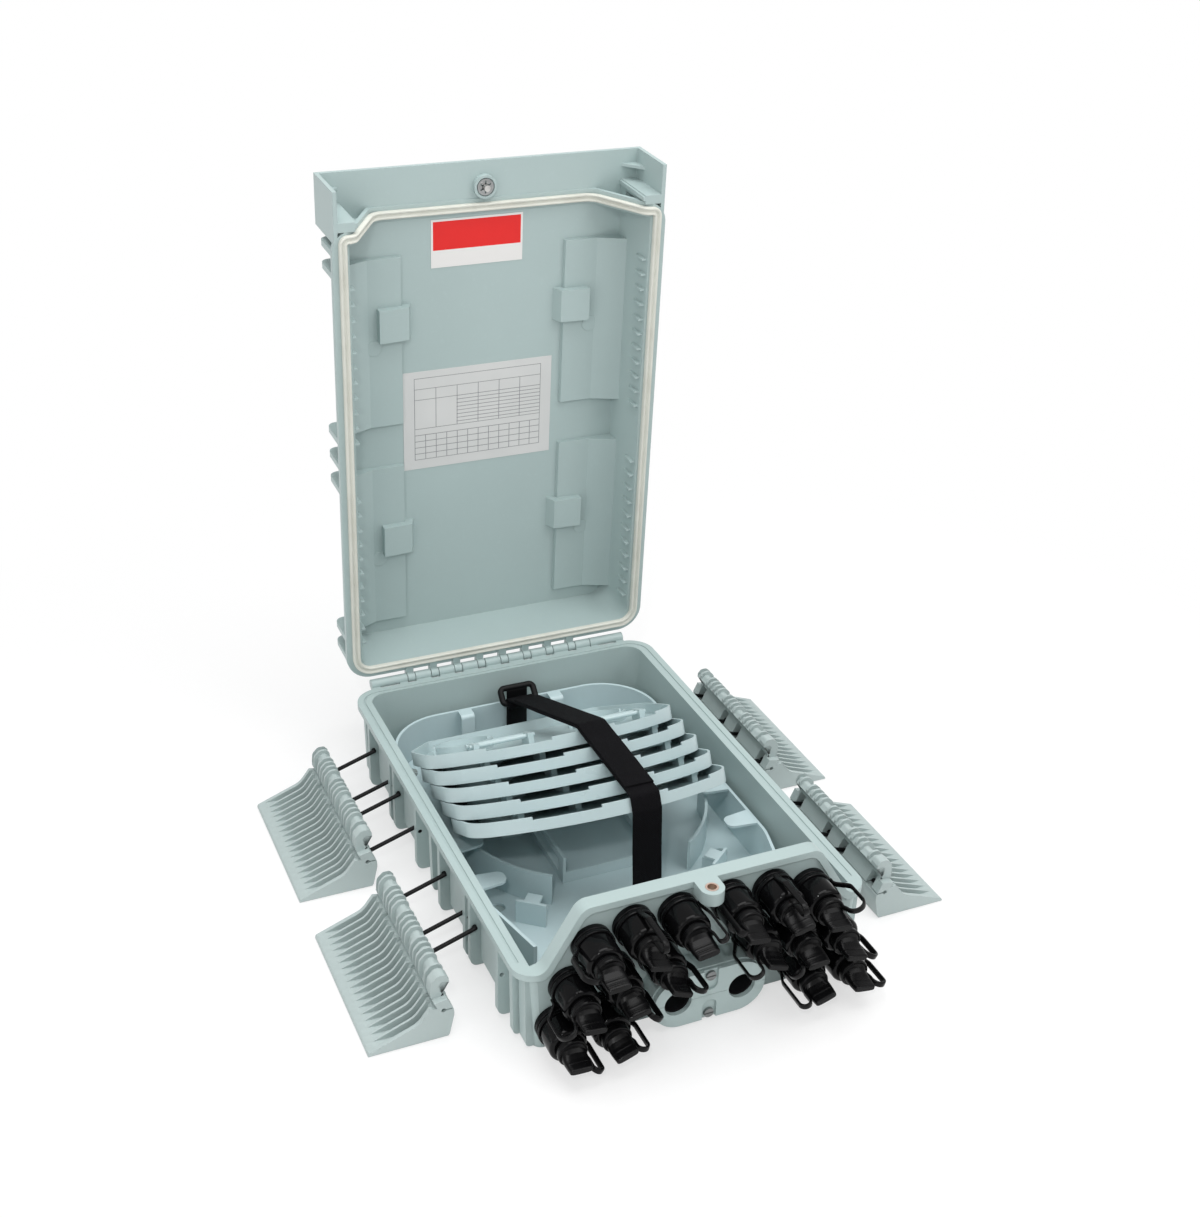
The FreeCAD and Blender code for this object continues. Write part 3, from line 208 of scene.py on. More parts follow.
# The camera stands where the photograph was taken from.
CAMERA_AT = (-0.385346, -0.861045, 0.700503)
CAMERA_HEADING = math.radians(-24.2986)
CAMERA_DIP = math.radians(28.538)
CAMERA_ROLL = math.radians(1.678)
CAMERA_LENS = 50.658
CAMERA_SENSOR = 36
CAMERA_REACH = 50


def srgb(red, green, blue):
    """A screen colour from 0 to 255 as linear light."""
    values = np.array([red, green, blue]) / 255
    return tuple(np.where(values <= 0.04045, values / 12.92, ((values + 0.055) / 1.055) ** 2.4))


def shade(colour, factor):
    """A colour made lighter or darker by a factor, no brighter than white."""
    return tuple(min(part * factor, 1.0) for part in colour)


class Wire:
    """A shader socket that takes part in Python arithmetic: each operation adds a Math node."""

    def __init__(self, finish, socket):
        self.finish = finish
        self.socket = socket

    def math(self, operation, *others):
        values = dict(enumerate((self,) + others))
        return self.finish.node("ShaderNodeMath", {"operation": operation}, values)

    def __add__(self, other):
        return self.math("ADD", other)

    def __sub__(self, other):
        return self.math("SUBTRACT", other)

    def __rsub__(self, other):
        return self.finish.node("ShaderNodeMath", {"operation": "SUBTRACT"}, {0: other, 1: self})

    def __mul__(self, other):
        return self.math("MULTIPLY", other)

    def __truediv__(self, other):
        return self.math("DIVIDE", other)

    def __lt__(self, other):
        return self.math("LESS_THAN", other)

    def __gt__(self, other):
        return self.math("GREATER_THAN", other)

    def __or__(self, other):
        return self.math("MAXIMUM", other)


class Finish:
    """The nodes of a material or of the world; patterns read Object coordinates."""

    def __init__(self, owner):
        self.owner = owner
        owner.use_nodes = True
        self.tree = owner.node_tree
        self.tree.nodes.clear()

    @cached_property
    def place(self):
        return self.node("ShaderNodeTexCoord", out="Object")

    def node(self, kind, settings=None, sockets=None, out=0):
        """Adds a node: settings first, then the values or links of its sockets. Gives one output."""
        made = self.tree.nodes.new(kind)
        for key, value in (settings or {}).items():
            if key == "stops":
                self.stops(made.color_ramp, value)
            else:
                setattr(made, key, value)
        for key, value in (sockets or {}).items():
            if isinstance(value, Wire):
                self.tree.links.new(value.socket, made.inputs[key])
            elif made.inputs[key].type == "RGBA" and len(value) == 3:
                made.inputs[key].default_value = (*value, 1)
            else:
                made.inputs[key].default_value = value
        return Wire(self, made.outputs[out]) if made.outputs else made

    @staticmethod
    def stops(ramp, stops):
        """Sets a ramp's stops as (place, grey level)."""
        while len(ramp.elements) < len(stops):
            ramp.elements.new(1.0)
        for element, (place, level) in zip(ramp.elements, stops):
            element.position = place
            element.color = (level, level, level, 1)

    def noise(self, scale, detail=2.0, rough=0.5):
        sockets = {"Vector": self.place, "Scale": scale, "Detail": detail, "Roughness": rough}
        return self.node("ShaderNodeTexNoise", None, sockets)

    def ramp(self, value, *stops):
        return self.node("ShaderNodeValToRGB", {"stops": stops}, {0: value})

    def mix(self, first, second, factor):
        return self.node("ShaderNodeMix", {"data_type": "RGBA"}, {0: factor, 6: first, 7: second}, out=2)

    def parts(self, vector):
        """The three numbers of a vector."""
        split = self.node("ShaderNodeSeparateXYZ", None, {0: vector}).socket.node
        return [Wire(self, socket) for socket in split.outputs]

    def rounded(self, radius):
        """Normals that turn smoothly over an edge, and a mask that is strongest on the edge itself, which
        the finishes use to paint a highlight on edges.
        """
        soft = self.node("ShaderNodeBevel", {"samples": 4}, {"Radius": radius})
        sharp = self.node("ShaderNodeNewGeometry", out="Normal")
        product = {"operation": "DOT_PRODUCT"}
        aligned = self.node("ShaderNodeVectorMath", product, {0: soft, 1: sharp}, out="Value")
        return soft, 1 - aligned

    def bump(self, height, depth, strength=1.0, **under):
        sockets = {"Height": height, "Distance": depth, "Strength": strength, **under}
        return self.node("ShaderNodeBump", None, sockets)

    def done(self, **sockets):
        """Ends the material in one Principled surface."""
        names = {key.replace("_", " "): value for key, value in sockets.items()}
        surface = self.node("ShaderNodeBsdfPrincipled", None, names)
        self.node("ShaderNodeOutputMaterial", None, {"Surface": surface})
        return self.owner


def finish(name):
    """A new empty material."""
    return Finish(bpy.data.materials.new(name))


def moulded(name, colour, rough=0.42, peel=0.00006, edge=0.0005):
    """Satin moulded plastic: cloudy flow marks, orange peel, handling scuffs, rounded edges and a painted
    highlight that lightens those edges.
    """
    f = finish(name)
    cloud = f.noise(14, 3)
    scuff = f.ramp(f.noise(240, 5, 0.7), (0.56, 0), (0.74, 1))
    soft, painted_edge_highlight = f.rounded(edge)
    base = f.mix(shade(colour, 0.95), shade(colour, 1.05), cloud)
    # Handling scuffs and a painted highlight on the edges both lighten the colour here.
    base = f.mix(base, shade(colour, 1.12), scuff * 0.30 + painted_edge_highlight)
    gloss = cloud * 0.10 + scuff * 0.08 + (rough - 0.06)
    relief = f.bump(f.noise(420, 2) * 0.7 + f.noise(1500, 2) * 0.3, peel, Normal=soft)
    return f.done(Base_Color=base, Roughness=gloss, Normal=relief)


def black_polymer(name, level, rough, peel, edge=0.0004):
    """Black rubber or plastic: a grey bloom in patches, specks of dust and a painted highlight on the
    edges over a near-black ground.
    """
    f = finish(name)
    black = (level, level, level * 1.1)
    bloom = f.ramp(f.noise(60, 4, 0.6), (0.42, 0), (0.78, 1))
    dust = f.ramp(f.noise(900, 2), (0.60, 0), (0.78, 1))
    soft, painted_edge_highlight = f.rounded(edge)
    base = f.mix(black, shade(black, 1.8), bloom * 0.5)
    # Specks of dust and a painted highlight on the edges both lift the black towards a dark grey.
    base = f.mix(base, (0.02, 0.02, 0.022), dust * 0.10 + painted_edge_highlight * 0.1)
    gloss = bloom * 0.08 + dust * 0.10 + rough
    relief = f.bump(f.noise(700, 3), peel, Normal=soft)
    return f.done(Base_Color=base, Roughness=gloss, Normal=relief, Specular_IOR_Level=0.16)


def bare_metal(name, colour, rough, grain):
    """Bare or plated metal with fine turning marks and a little tarnish."""
    f = finish(name)
    marks = f.noise(grain, 4, 0.7)
    tarnish = f.ramp(f.noise(180, 3), (0.45, 0), (0.75, 1))
    base = f.mix(colour, shade(colour, 0.55), tarnish * 0.5)
    gloss = marks * 0.18 + tarnish * 0.12 + rough
    return f.done(Base_Color=base, Metallic=1.0, Roughness=gloss, Normal=f.bump(marks, 0.00002))


def sponge_rubber(name):
    """Cream sealing rubber: matt, slightly dusty, with a pitted skin."""
    f = finish(name)
    pits = f.noise(1300, 3, 0.6)
    soil = f.ramp(f.noise(45, 4), (0.45, 0), (0.8, 1))
    base = f.mix(srgb(209, 210, 201), srgb(186, 185, 174), soil * 0.5)
    return f.done(Base_Color=base, Roughness=pits * 0.1 + 0.6, Normal=f.bump(pits, 0.00008))


def hook_tape(name):
    """Black hook-and-loop tape: a woven ground under a fuzz of loops, a little worn in places."""
    f = finish(name)
    x, y, z = f.parts(f.place)
    weave = (x * 4200).math("SINE") * ((y + z) * 3600).math("SINE")
    fuzz = f.noise(1900, 4, 0.75)
    worn = f.ramp(f.noise(55, 3), (0.45, 0), (0.75, 1))
    base = f.mix(srgb(7, 7, 9), srgb(19, 18, 22), fuzz * 0.5 + worn * 0.25)
    relief = f.bump(weave * 0.3 + fuzz, 0.0005, 0.9)
    return f.done(Base_Color=base, Roughness=0.9, Normal=relief, Specular_IOR_Level=0.12)


def lid_place(f):
    """The x and y of the shut lid in millimetres: Object coordinates turned back about the hinge."""
    turn = np.array(Matrix.Rotation(LID_OPEN, 3, "X"))
    shift = (HINGE - turn @ HINGE) * MM
    sockets = {"Vector": f.place, "Location": tuple(shift), "Rotation": (LID_OPEN, 0, 0)}
    x, y = f.parts(f.node("ShaderNodeMapping", None, sockets))[:2]
    return x / MM, y / MM


def between(value, low, high):
    """1 where the value lies between two numbers."""
    return (value > low) * (value < high)


def rules(value, start, step, width):
    """1 on every line of an evenly ruled field."""
    phase = ((value - start) / step).math("FRACT")
    return phase < (width / step)


def log_sheet(name):
    """A white film with a blank ruled table: title bar, head row, columns, split rows, a grid of cells."""
    f = finish(name)
    x, y = lid_place(f)
    across = x - LOG_LABEL[0]
    down = y - LOG_LABEL[2]
    (left, right), (top, bottom) = TABLE_SIDES, TABLE_ENDS
    title_end, head_end, body_end = TABLE_BARS
    body_end += TABLE_LINE
    cell_wide, cell_high = TABLE_CELL
    field = between(across, left, right) * between(down, top, bottom)
    columns = rules(across, left, TABLE_COLUMN, TABLE_RULE) * between(down, title_end, body_end)
    rows = rules(down, head_end, TABLE_ROW, TABLE_RULE) * between(down, head_end, body_end)
    rows = rows * (across > TABLE_ROWS_FROM) * (1 - between(down, *TABLE_STRIP))
    cells = rules(across, left, cell_wide, TABLE_RULE) | rules(down, TABLE_GRID, cell_high, TABLE_RULE)
    cells = cells * between(down, TABLE_GRID, bottom)
    title_bar, head_bar, body_bar = [between(down, bar, bar + TABLE_LINE) for bar in TABLE_BARS]
    inner = between(across, left + TABLE_LINE, right - TABLE_LINE)
    inner = inner * between(down, top + TABLE_LINE, bottom - TABLE_LINE)
    border = 1 - inner * (1 - (title_bar | head_bar | body_bar))
    ink = (columns | rows | cells | border) * field
    grain = f.noise(900, 3)
    paper = f.mix(srgb(209, 209, 208), srgb(198, 199, 198), f.noise(35, 3))
    base = f.mix(paper, srgb(96, 99, 104), ink * 0.8)
    return f.done(Base_Color=base, Roughness=grain * 0.08 + 0.42, Normal=f.bump(grain, 0.00003))


def colour_film(name):
    """A plain label of two fields: a red one above a white strip, with a thin white border."""
    f = finish(name)
    x, y = lid_place(f)
    x0, x1, y0 = COLOUR_LABEL[:3]
    red = between(x, x0 + COLOUR_BORDER, x1 - COLOUR_BORDER)
    red = red * between(y, y0 + COLOUR_BORDER, y0 + COLOUR_DEPTH)
    cloud = f.noise(40, 3)
    ink = f.mix(srgb(228, 14, 8), srgb(214, 10, 6), cloud)
    base = f.mix(srgb(222, 220, 218), ink, red)
    return f.done(Base_Color=base, Roughness=cloud * 0.08 + 0.30, Normal=f.bump(f.noise(700, 2), 0.00003))


finishes = {
    "shell_plastic": moulded("shell_plastic", srgb(166, 183, 182)),
    "latch_plastic": moulded("latch_plastic", srgb(168, 181, 180), 0.46, edge=0.0003),
    "tray_plastic": moulded("tray_plastic", srgb(178, 196, 198), 0.30, 0.00003, 0.0003),
    "insert_plastic": moulded("insert_plastic", srgb(187, 206, 209), 0.36, 0.00004, 0.0004),
    "bail_wire": black_polymer("bail_wire", 0.006, 0.30, 0.00002),
    "cap_rubber": black_polymer("cap_rubber", 0.003, 0.26, 0.00001),
    "adapter_plastic": black_polymer("adapter_plastic", 0.003, 0.07, 0.000004),
    "gasket_rubber": sponge_rubber("gasket_rubber"),
    "seal_rubber": black_polymer("seal_rubber", 0.006, 0.55, 0.00006),
    "pin_steel": bare_metal("pin_steel", (0.55, 0.55, 0.56), 0.28, 900),
    "screw_steel": bare_metal("screw_steel", (0.66, 0.65, 0.63), 0.22, 1100),
    "dull_steel": bare_metal("dull_steel", (0.26, 0.27, 0.27), 0.38, 1100),
    "spring_steel": bare_metal("spring_steel", (0.42, 0.43, 0.43), 0.30, 1400),
    "insert_brass": bare_metal("insert_brass", (0.82, 0.62, 0.52), 0.26, 1100),
    "log_paper": log_sheet("log_paper"),
    "label_film": colour_film("label_film"),
    "strap_fabric": hook_tape("strap_fabric"),
    "buckle_plastic": black_polymer("buckle_plastic", 0.004, 0.36, 0.00004, 0.0007),
}


def dress(piece, slot):
    """Gives a piece the one finish of a slot."""
    piece.data.materials.clear()
    piece.data.materials.append(finishes[slot])


for node_name, node_object in nodes.items():
    dress(node_object, node_slot[node_name])
dress(nodes["port_screws"], "dull_steel")
dress(nodes["screw_retainer"], "spring_steel")


def lattice(rows, columns, wrap_rows=False):
    """Quads over a grid of points numbered row by row; each row is a ring, and the rows may join too."""
    i = np.arange(rows if wrap_rows else rows - 1)[:, None]
    j = np.arange(columns)[None, :]
    a = i * columns + j
    b = i * columns + (j + 1) % columns
    c = (i + 1) % rows * columns + (j + 1) % columns
    d = (i + 1) % rows * columns + j
    return np.stack([a, b, c, d], -1).reshape(-1, 4)


def tube(grid):
    """A tube of rings, points (rings, around, 3), with a flat face on both ends."""
    rows, around = grid.shape[:2]
    first = np.arange(around)[::-1]
    last = np.arange(around) + (rows - 1) * around
    return grid, lattice(rows, around), [first, last]


def hoop(grid):
    """A tube of rings whose last ring joins the first."""
    return grid, lattice(*grid.shape[:2], wrap_rows=True), []


def piece_from(name, surfaces, node, smooth_angle):
    """One mesh from several (points, quads, end faces) surfaces in millimetres, in place of a CAD node.

    Doubled points are merged, which closes the poles, and faces are turned outward.
    """
    points = np.concatenate([grid.reshape(-1, 3) for grid, quads, ends in surfaces]) * MM
    starts = np.cumsum([0] + [grid.reshape(-1, 3).shape[0] for grid, quads, ends in surfaces])
    faces = []
    for start, (grid, quads, ends) in zip(starts, surfaces):
        faces += (quads + start).tolist() + [(end + start).tolist() for end in ends]
    mesh = bpy.data.meshes.new(name)
    mesh.from_pydata(points.tolist(), [], faces)
    work = bmesh.new()
    work.from_mesh(mesh)
    bmesh.ops.remove_doubles(work, verts=work.verts, dist=1e-7)
    bmesh.ops.recalc_face_normals(work, faces=work.faces)
    work.to_mesh(mesh)
    work.free()
    mesh.polygons.foreach_set("use_smooth", np.ones(len(mesh.polygons), bool))
    mesh.set_sharp_from_angle(angle=math.radians(smooth_angle))
    made = bpy.data.objects.new(name, mesh)
    bpy.context.scene.collection.objects.link(made)
    dress(made, node_slot[node])
    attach(made, node_body[node])
    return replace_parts(made, node)


def turned(profile, count):
    """A surface of revolution about Y: each (radius, y) of the profile is carried round a full turn."""
    angle = np.linspace(0, 2 * np.pi, count, endpoint=False)
    radius, along = np.asarray(profile, float).T
    return np.stack(np.broadcast_arrays(radius[:, None] * np.cos(angle), along[:, None],
                                        radius[:, None] * np.sin(angle)), -1)


def arc(centre, radius, start, end, count):
    """Points of a circular arc between two angles in degrees."""
    angle = np.radians(np.linspace(start, end, count))
    return np.stack([np.cos(angle), np.sin(angle)], -1) * radius + np.asarray(centre)


def corner_arc(before, corner, after, radius):
    """The arc that rounds one corner: it leaves both legs at radius / tan(half the corner's angle)."""
    a = (before - corner) / np.linalg.norm(before - corner)
    b = (after - corner) / np.linalg.norm(after - corner)
    half = 0.5 * math.acos(np.clip(a @ b, -1, 1))
    sweep = math.pi - 2 * half
    if radius <= 0 or sweep < 0.01:
        return corner[None]
    middle = corner + (a + b) / np.linalg.norm(a + b) * radius / math.sin(half)
    start = corner + a * radius / math.tan(half) - middle
    end = corner + b * radius / math.tan(half) - middle
    t = np.linspace(0, 1, max(4, int(math.degrees(sweep) / 7)))[:, None]
    return middle + (np.sin((1 - t) * sweep) * start + np.sin(t * sweep) * end) / math.sin(sweep)


def rounded_line(corners, radii, step, closed=False):
    """A line through corners whose turns are arcs, with points no further apart than about a step."""
    corners = np.asarray(corners, float)
    arcs = [corner_arc(before, corner, after, radius) for before, corner, after, radius
            in zip(np.roll(corners, 1, 0), corners, np.roll(corners, -1, 0), radii)]
    line = np.concatenate(arcs + ([arcs[0][:1]] if closed else []))
    gaps = np.linalg.norm(np.diff(line, axis=0), axis=1)
    line = line[np.concatenate([[True], gaps > 1e-4])]
    along = np.concatenate([[0], np.cumsum(np.linalg.norm(np.diff(line, axis=0), axis=1))])
    extra = np.linspace(0, along[-1], int(along[-1] / step) + 1)
    far = np.abs(extra[:, None] - along).min(1) > 0.4 * step
    stops = np.sort(np.concatenate([along, extra[far]]))
    line = np.stack([np.interp(stops, along, axis) for axis in line.T], -1)
    return line[:-1] if closed else line


def evenly(corners, radii, count):
    """Points evenly spaced along a rounded line."""
    line = rounded_line(corners, radii, step=0.3)
    along = np.concatenate([[0], np.cumsum(np.linalg.norm(np.diff(line, axis=0), axis=1))])
    return np.stack([np.interp(np.linspace(0, along[-1], count), along, axis) for axis in line.T], -1)


def tangents(line, closed):
    """Unit directions along a line, by central differences."""
    if closed:
        ahead = np.roll(line, -1, 0) - np.roll(line, 1, 0)
    else:
        ahead = np.gradient(line, axis=0)
    return ahead / np.linalg.norm(ahead, axis=1, keepdims=True)


def carried(line, across, profile, closed=False):
    """A profile of (across, up) carried along a line; up is square to the line and to across."""
    across = np.broadcast_to(across, line.shape)
    up = np.cross(tangents(line, closed), across)
    up /= np.linalg.norm(up, axis=1, keepdims=True)
    profile = np.asarray(profile, float)
    return line[:, None] + profile[None, :, :1] * across[:, None] + profile[None, :, 1:] * up[:, None]


def rounded_box(width, height, radius, rise=0.0):
    """A rounded rectangle as (across, up) points round the line, its middle raised above the line."""
    x, y = width / 2 - radius, height / 2 - radius
    quarters = [arc((sx * x, sy * y + rise), radius, start, start + 90, 4)
                for sx, sy, start in ((1, 1, 0), (-1, 1, 90), (-1, -1, 180), (1, -1, 270))]
    return np.concatenate(quarters)


def at_adapter(surface, place):
    """A surface drawn about the Y axis, moved to an adapter's place."""
    grid, quads, ends = surface
    return grid + np.array([place[0], 0.0, place[1]]), quads, ends


def adapter_body():
    """An adapter: spigot, collar, rounded shoulders and bore turned in one; its thread is a sine wave."""
    thread = np.linspace(*THREAD, THREAD_POINTS)
    ripple = ADAPTER_SPIGOT_R - THREAD_DEEP + THREAD_DEEP * np.sin(thread * 2 * np.pi / THREAD_PITCH)
    spigot = [(0, SPIGOT_END), (ADAPTER_SPIGOT_R - 1, SPIGOT_END), *zip(ripple, thread),
              (ADAPTER_SPIGOT_R, ADAPTER_FACE)]
    collar_edge = arc((COLLAR_R - COLLAR_ROUND, COLLAR_END + COLLAR_ROUND), COLLAR_ROUND, 0, -90, 5)
    collar = [(COLLAR_R, ADAPTER_FACE), *collar_edge]
    shoulder = arc((ADAPTER_R - SHOULDER_R, ADAPTER_END + SHOULDER_R), SHOULDER_R, 0, -90, 9)
    lip = arc((ADAPTER_BORE_R + LIP_ROUND, ADAPTER_END + LIP_ROUND), LIP_ROUND, 270, 180, 4)
    body = [(ADAPTER_R, COLLAR_END), *shoulder, *lip, (ADAPTER_BORE_R, BORE_END), (0, BORE_END)]
    grid = turned(spigot + collar + body, TURNED_POINTS)
    return grid, lattice(*grid.shape[:2]), []


def adapters():
    """All the adapters in the front wall."""
    body = adapter_body()
    surfaces = [at_adapter(body, place) for place in ADAPTER_PLACES]
    piece_from("adapter_mouldings", surfaces, "adapters", smooth_angle=35)


def spun(surface, angle):
    """A surface turned about the Y axis, from +X towards +Z."""
    grid, quads, ends = surface
    c, s = math.cos(angle), math.sin(angle)
    return grid @ np.array([[c, 0, s], [0, 1, 0], [-s, 0, c]]), quads, ends


def cap_nose():
    """The nose of a dust cap: a superellipse |x / a|^n + |(z - lift) / b|^n = 1 carried along Y.

    Its a, b, n and lift lead from a ringed plug to a low, flat grip with sine ribs across its upper side.
    """
    stations = np.array(CAP_STATIONS).T
    count = stations.shape[1]
    steps = np.linspace(0, count - 1, CAP_RINGS)
    along, a, b, n, lift = [np.interp(steps, np.arange(count), column)[:, None] for column in stations]
    angle = np.linspace(0, 2 * np.pi, CAP_POINTS, endpoint=False)[None]
    c, s = np.cos(angle), np.sin(angle)
    x = a * np.sign(c) * np.abs(c) ** (2 / n)
    z = b * np.sign(s) * np.abs(s) ** (2 / n) + lift
    first, last = CAP_RIBS
    fade_in, fade_out = CAP_RIB_FADES
    ribbed = np.clip((first - along) / fade_in, 0, 1) * np.clip((along - last) / fade_out, 0, 1)
    ribs = np.maximum(0, np.sin(-along * 2 * np.pi / CAP_RIB_PITCH))
    z = z + CAP_RIB_HIGH * ribbed * ribs * np.clip(s, 0, 1) ** 0.5
    return tube(np.stack(np.broadcast_arrays(x, along, z), -1))


def cap_lanyard(bow, reach):
    """The band from the ring that bows out and turns back to the nose: a rounded strip on a bent line."""
    foot, nose = LANYARD_FOOT[0], LANYARD_NOSE[0]
    turn = (bow - nose) / 2 - 0.05
    bends = [LANYARD_FOOT, (foot, LANYARD_LEAVES), (bow, LANYARD_BOWED), (bow, -reach), (nose, -reach),
             LANYARD_NOSE, LANYARD_END]
    line = rounded_line([(*bend, 0) for bend in bends], [0, 4, 4, turn, turn, 2, 0], step=0.8)
    return tube(carried(line, (0.0, 0, 1), rounded_box(*LANYARD_BAND)))


def dust_cap(index):
    """One dust cap: its nose, its ring round the adapter and the lanyard between them."""
    aim = math.radians(LANYARD_AIM[index])
    surfaces = [spun(cap_nose(), -math.radians(CAP_TURN[index])),
                hoop(turned(CAP_RING, TURNED_POINTS)),
                spun(cap_lanyard(LANYARD_BOW[index], LANYARD_REACH[index]), aim)]
    surfaces = [at_adapter(surface, ADAPTER_PLACES[index]) for surface in surfaces]
    node = "dust_cap_%02d" % (index + 1)
    piece_from(node + "_moulding", surfaces, node, smooth_angle=35)


def inside(v, spans):
    """For each place along Y, whether it lies in one of the spans, shaped to choose between two lines."""
    low, high = np.asarray(spans, float).T
    return ((v[:, None] > low) & (v[:, None] < high)).any(1)[:, None, None]


def latch(node):
    """A comb-backed latch: a section along Y whose comb, slit, hook and back change between two lines.

    Each switch has a row of points on both sides of it, so that the step between two lines is a flat wall.
    """
    side, middle = LATCHES[node]
    pitch = 2 * (LATCH_HALF - LATCH_CHEEK) / GROOVES
    first = -LATCH_HALF + LATCH_CHEEK + (pitch - GROOVE_WIDE) / 2
    grooves = [(first + i * pitch, first + i * pitch + GROOVE_WIDE) for i in range(GROOVES)]
    vents = [(place - VENT_HALF, place + VENT_HALF) for place in VENTS]
    group = 2 * HOOK_HALF / HOOK_GROUPS
    # The front end of the hook stays solid where its first recess would be.
    recesses = [(-HOOK_HALF + i * group + a, -HOOK_HALF + i * group + b)
                for i in range(HOOK_GROUPS) for a, b in HOOK_RECESSES][1:]
    hook = [(-HOOK_HALF, HOOK_HALF)]
    spans = (grooves, vents, recesses, hook, BAIL_SLOTS)
    switches = np.unique(np.concatenate([np.ravel(one) for one in spans]))
    v = np.sort(np.concatenate([[-LATCH_HALF, LATCH_HALF], switches - LATCH_STEP, switches + LATCH_STEP]))
    comb = np.where(inside(v, grooves), evenly(COMB_GROOVE, COMB_GROOVE_BENDS, COMB_POINTS),
                    evenly(COMB_RIDGE, COMB_RIDGE_BENDS, COMB_POINTS))
    slit = np.where(inside(v, vents), VENT, SLIT)
    crook = np.where(inside(v, recesses), evenly(HOOK_RECESS, HOOK_RECESS_BENDS, HOOK_POINTS),
                     evenly(HOOK_RIB, HOOK_RIB_BENDS, HOOK_POINTS))
    curl = np.broadcast_to(evenly(HOOK_CURL, HOOK_CURL_BENDS, CURL_POINTS), (len(v), CURL_POINTS, 2))
    root = evenly(HOOK_ROOT, [0, 0], HOOK_POINTS + CURL_POINTS)
    crook = np.where(inside(v, hook), np.concatenate([crook, curl], 1), root)
    bore = arc(LATCH_PIVOT, PIVOT_BORE_R, PIVOT_MOUTH, -PIVOT_MOUTH, 9)
    closed_back = np.concatenate([[BACK_TOP, BACK_LIPS[0]], bore, [BACK_LIPS[1]]])
    slotted_back = evenly(BAIL_SLOT, [0] * len(BAIL_SLOT), len(closed_back))
    back = np.where(inside(v, BAIL_SLOTS), slotted_back, closed_back)
    foot = np.broadcast_to(LATCH_FOOT, (len(v), len(LATCH_FOOT), 2))
    section = np.concatenate([comb, slit, crook, back, foot], 1)
    along = np.broadcast_to((v + middle)[:, None], section.shape[:2])
    grid = np.stack([side * section[..., 0], along, section[..., 1]], -1)
    piece_from(node + "_moulding", [tube(grid)], node, smooth_angle=30)


def lid_open(points):
    """Points of the shut lid swung about the hinge to where the lid stands."""
    turn = np.array(Matrix.Rotation(-LID_OPEN, 3, "X"))
    return (points - HINGE) @ turn.T + HINGE


def gasket():
    """The lid seal: a two-lipped profile carried along the rim and over the arch, level with both."""
    lift = SEAL_LEVEL - RIM_TOP
    slope = math.atan2(ARCH_TOP[1] - ARCH_FOOT[1], ARCH_FOOT[0] - ARCH_TOP[0])
    out = lift * math.tan(slope / 2)
    foot, top, top_level = ARCH_FOOT[0] + out, ARCH_TOP[0] + out, ARCH_TOP[1] + lift
    right = [(top, SEAL_FRONT, top_level), (foot, SEAL_FRONT, SEAL_LEVEL),
             (SEAL_SIDE, SEAL_FRONT, SEAL_LEVEL), (SEAL_SIDE, SEAL_REAR, SEAL_LEVEL)]
    left = [(-x, y, z) for x, y, z in reversed(right)]
    line = rounded_line(left + right, SEAL_BENDS, step=3.0, closed=True)
    level = tangents(line, closed=True) * (1, 1, 0)
    across = np.cross(level, (0.0, 0, 1))
    across /= np.linalg.norm(across, axis=1, keepdims=True)
    lip = np.array(SEAL_LIP)
    profile = np.concatenate([lip[:0:-1] * (-1, 1), lip])
    grid = carried(line, across, profile, closed=True)
    piece_from("gasket_lips", [hoop(lid_open(grid))], "lid_gasket", smooth_angle=50)


def strap_run(corners, bends, width, rise):
    """A run of tape: a thin rounded strip along a line in the YZ plane, whose middle wanders sideways."""
    line = rounded_line([(0, y, z) for y, z in corners], bends, step=2.0)
    sway = np.cumsum(rng.normal(0, STRAP_SWAY, len(line)))
    sway -= np.linspace(sway[0], sway[-1], len(line))
    window = np.ones(STRAP_SWAY_SPAN) / STRAP_SWAY_SPAN
    line[:, 0] = np.mean(STRAP_X) + np.convolve(sway, window, "same")
    return line, tube(carried(line, (1.0, 0, 0), rounded_box(width, STRAP_THICK, STRAP_EDGE, rise)))


def strap():
    """The hook-and-loop strap: a run over the trays, a tail doubled on it, an eye round the buckle's bar.

    Its flat length is the sum of the three.
    """
    width = STRAP_X[1] - STRAP_X[0]
    run, run_tape = strap_run(STRAP_LINE, STRAP_BENDS, width, 0.0)
    narrower = width - STRAP_TAIL_NARROWER
    tail, tail_tape = strap_run(STRAP_TAIL, STRAP_TAIL_BENDS, narrower, STRAP_TAIL_RISE)
    circle = arc(STRAP_PIVOT, STRAP_EYE_R, 0, 360 - 360 / EYE_POINTS, EYE_POINTS)
    eye = np.column_stack([np.full(EYE_POINTS, np.mean(STRAP_X)), circle])
    eye_section = rounded_box(width, STRAP_THICK, EYE_ROUND)
    eye_tape = hoop(carried(eye, (1.0, 0, 0), eye_section, closed=True))
    made = piece_from("strap_tape", [run_tape, tail_tape, eye_tape], "strap", smooth_angle=50)


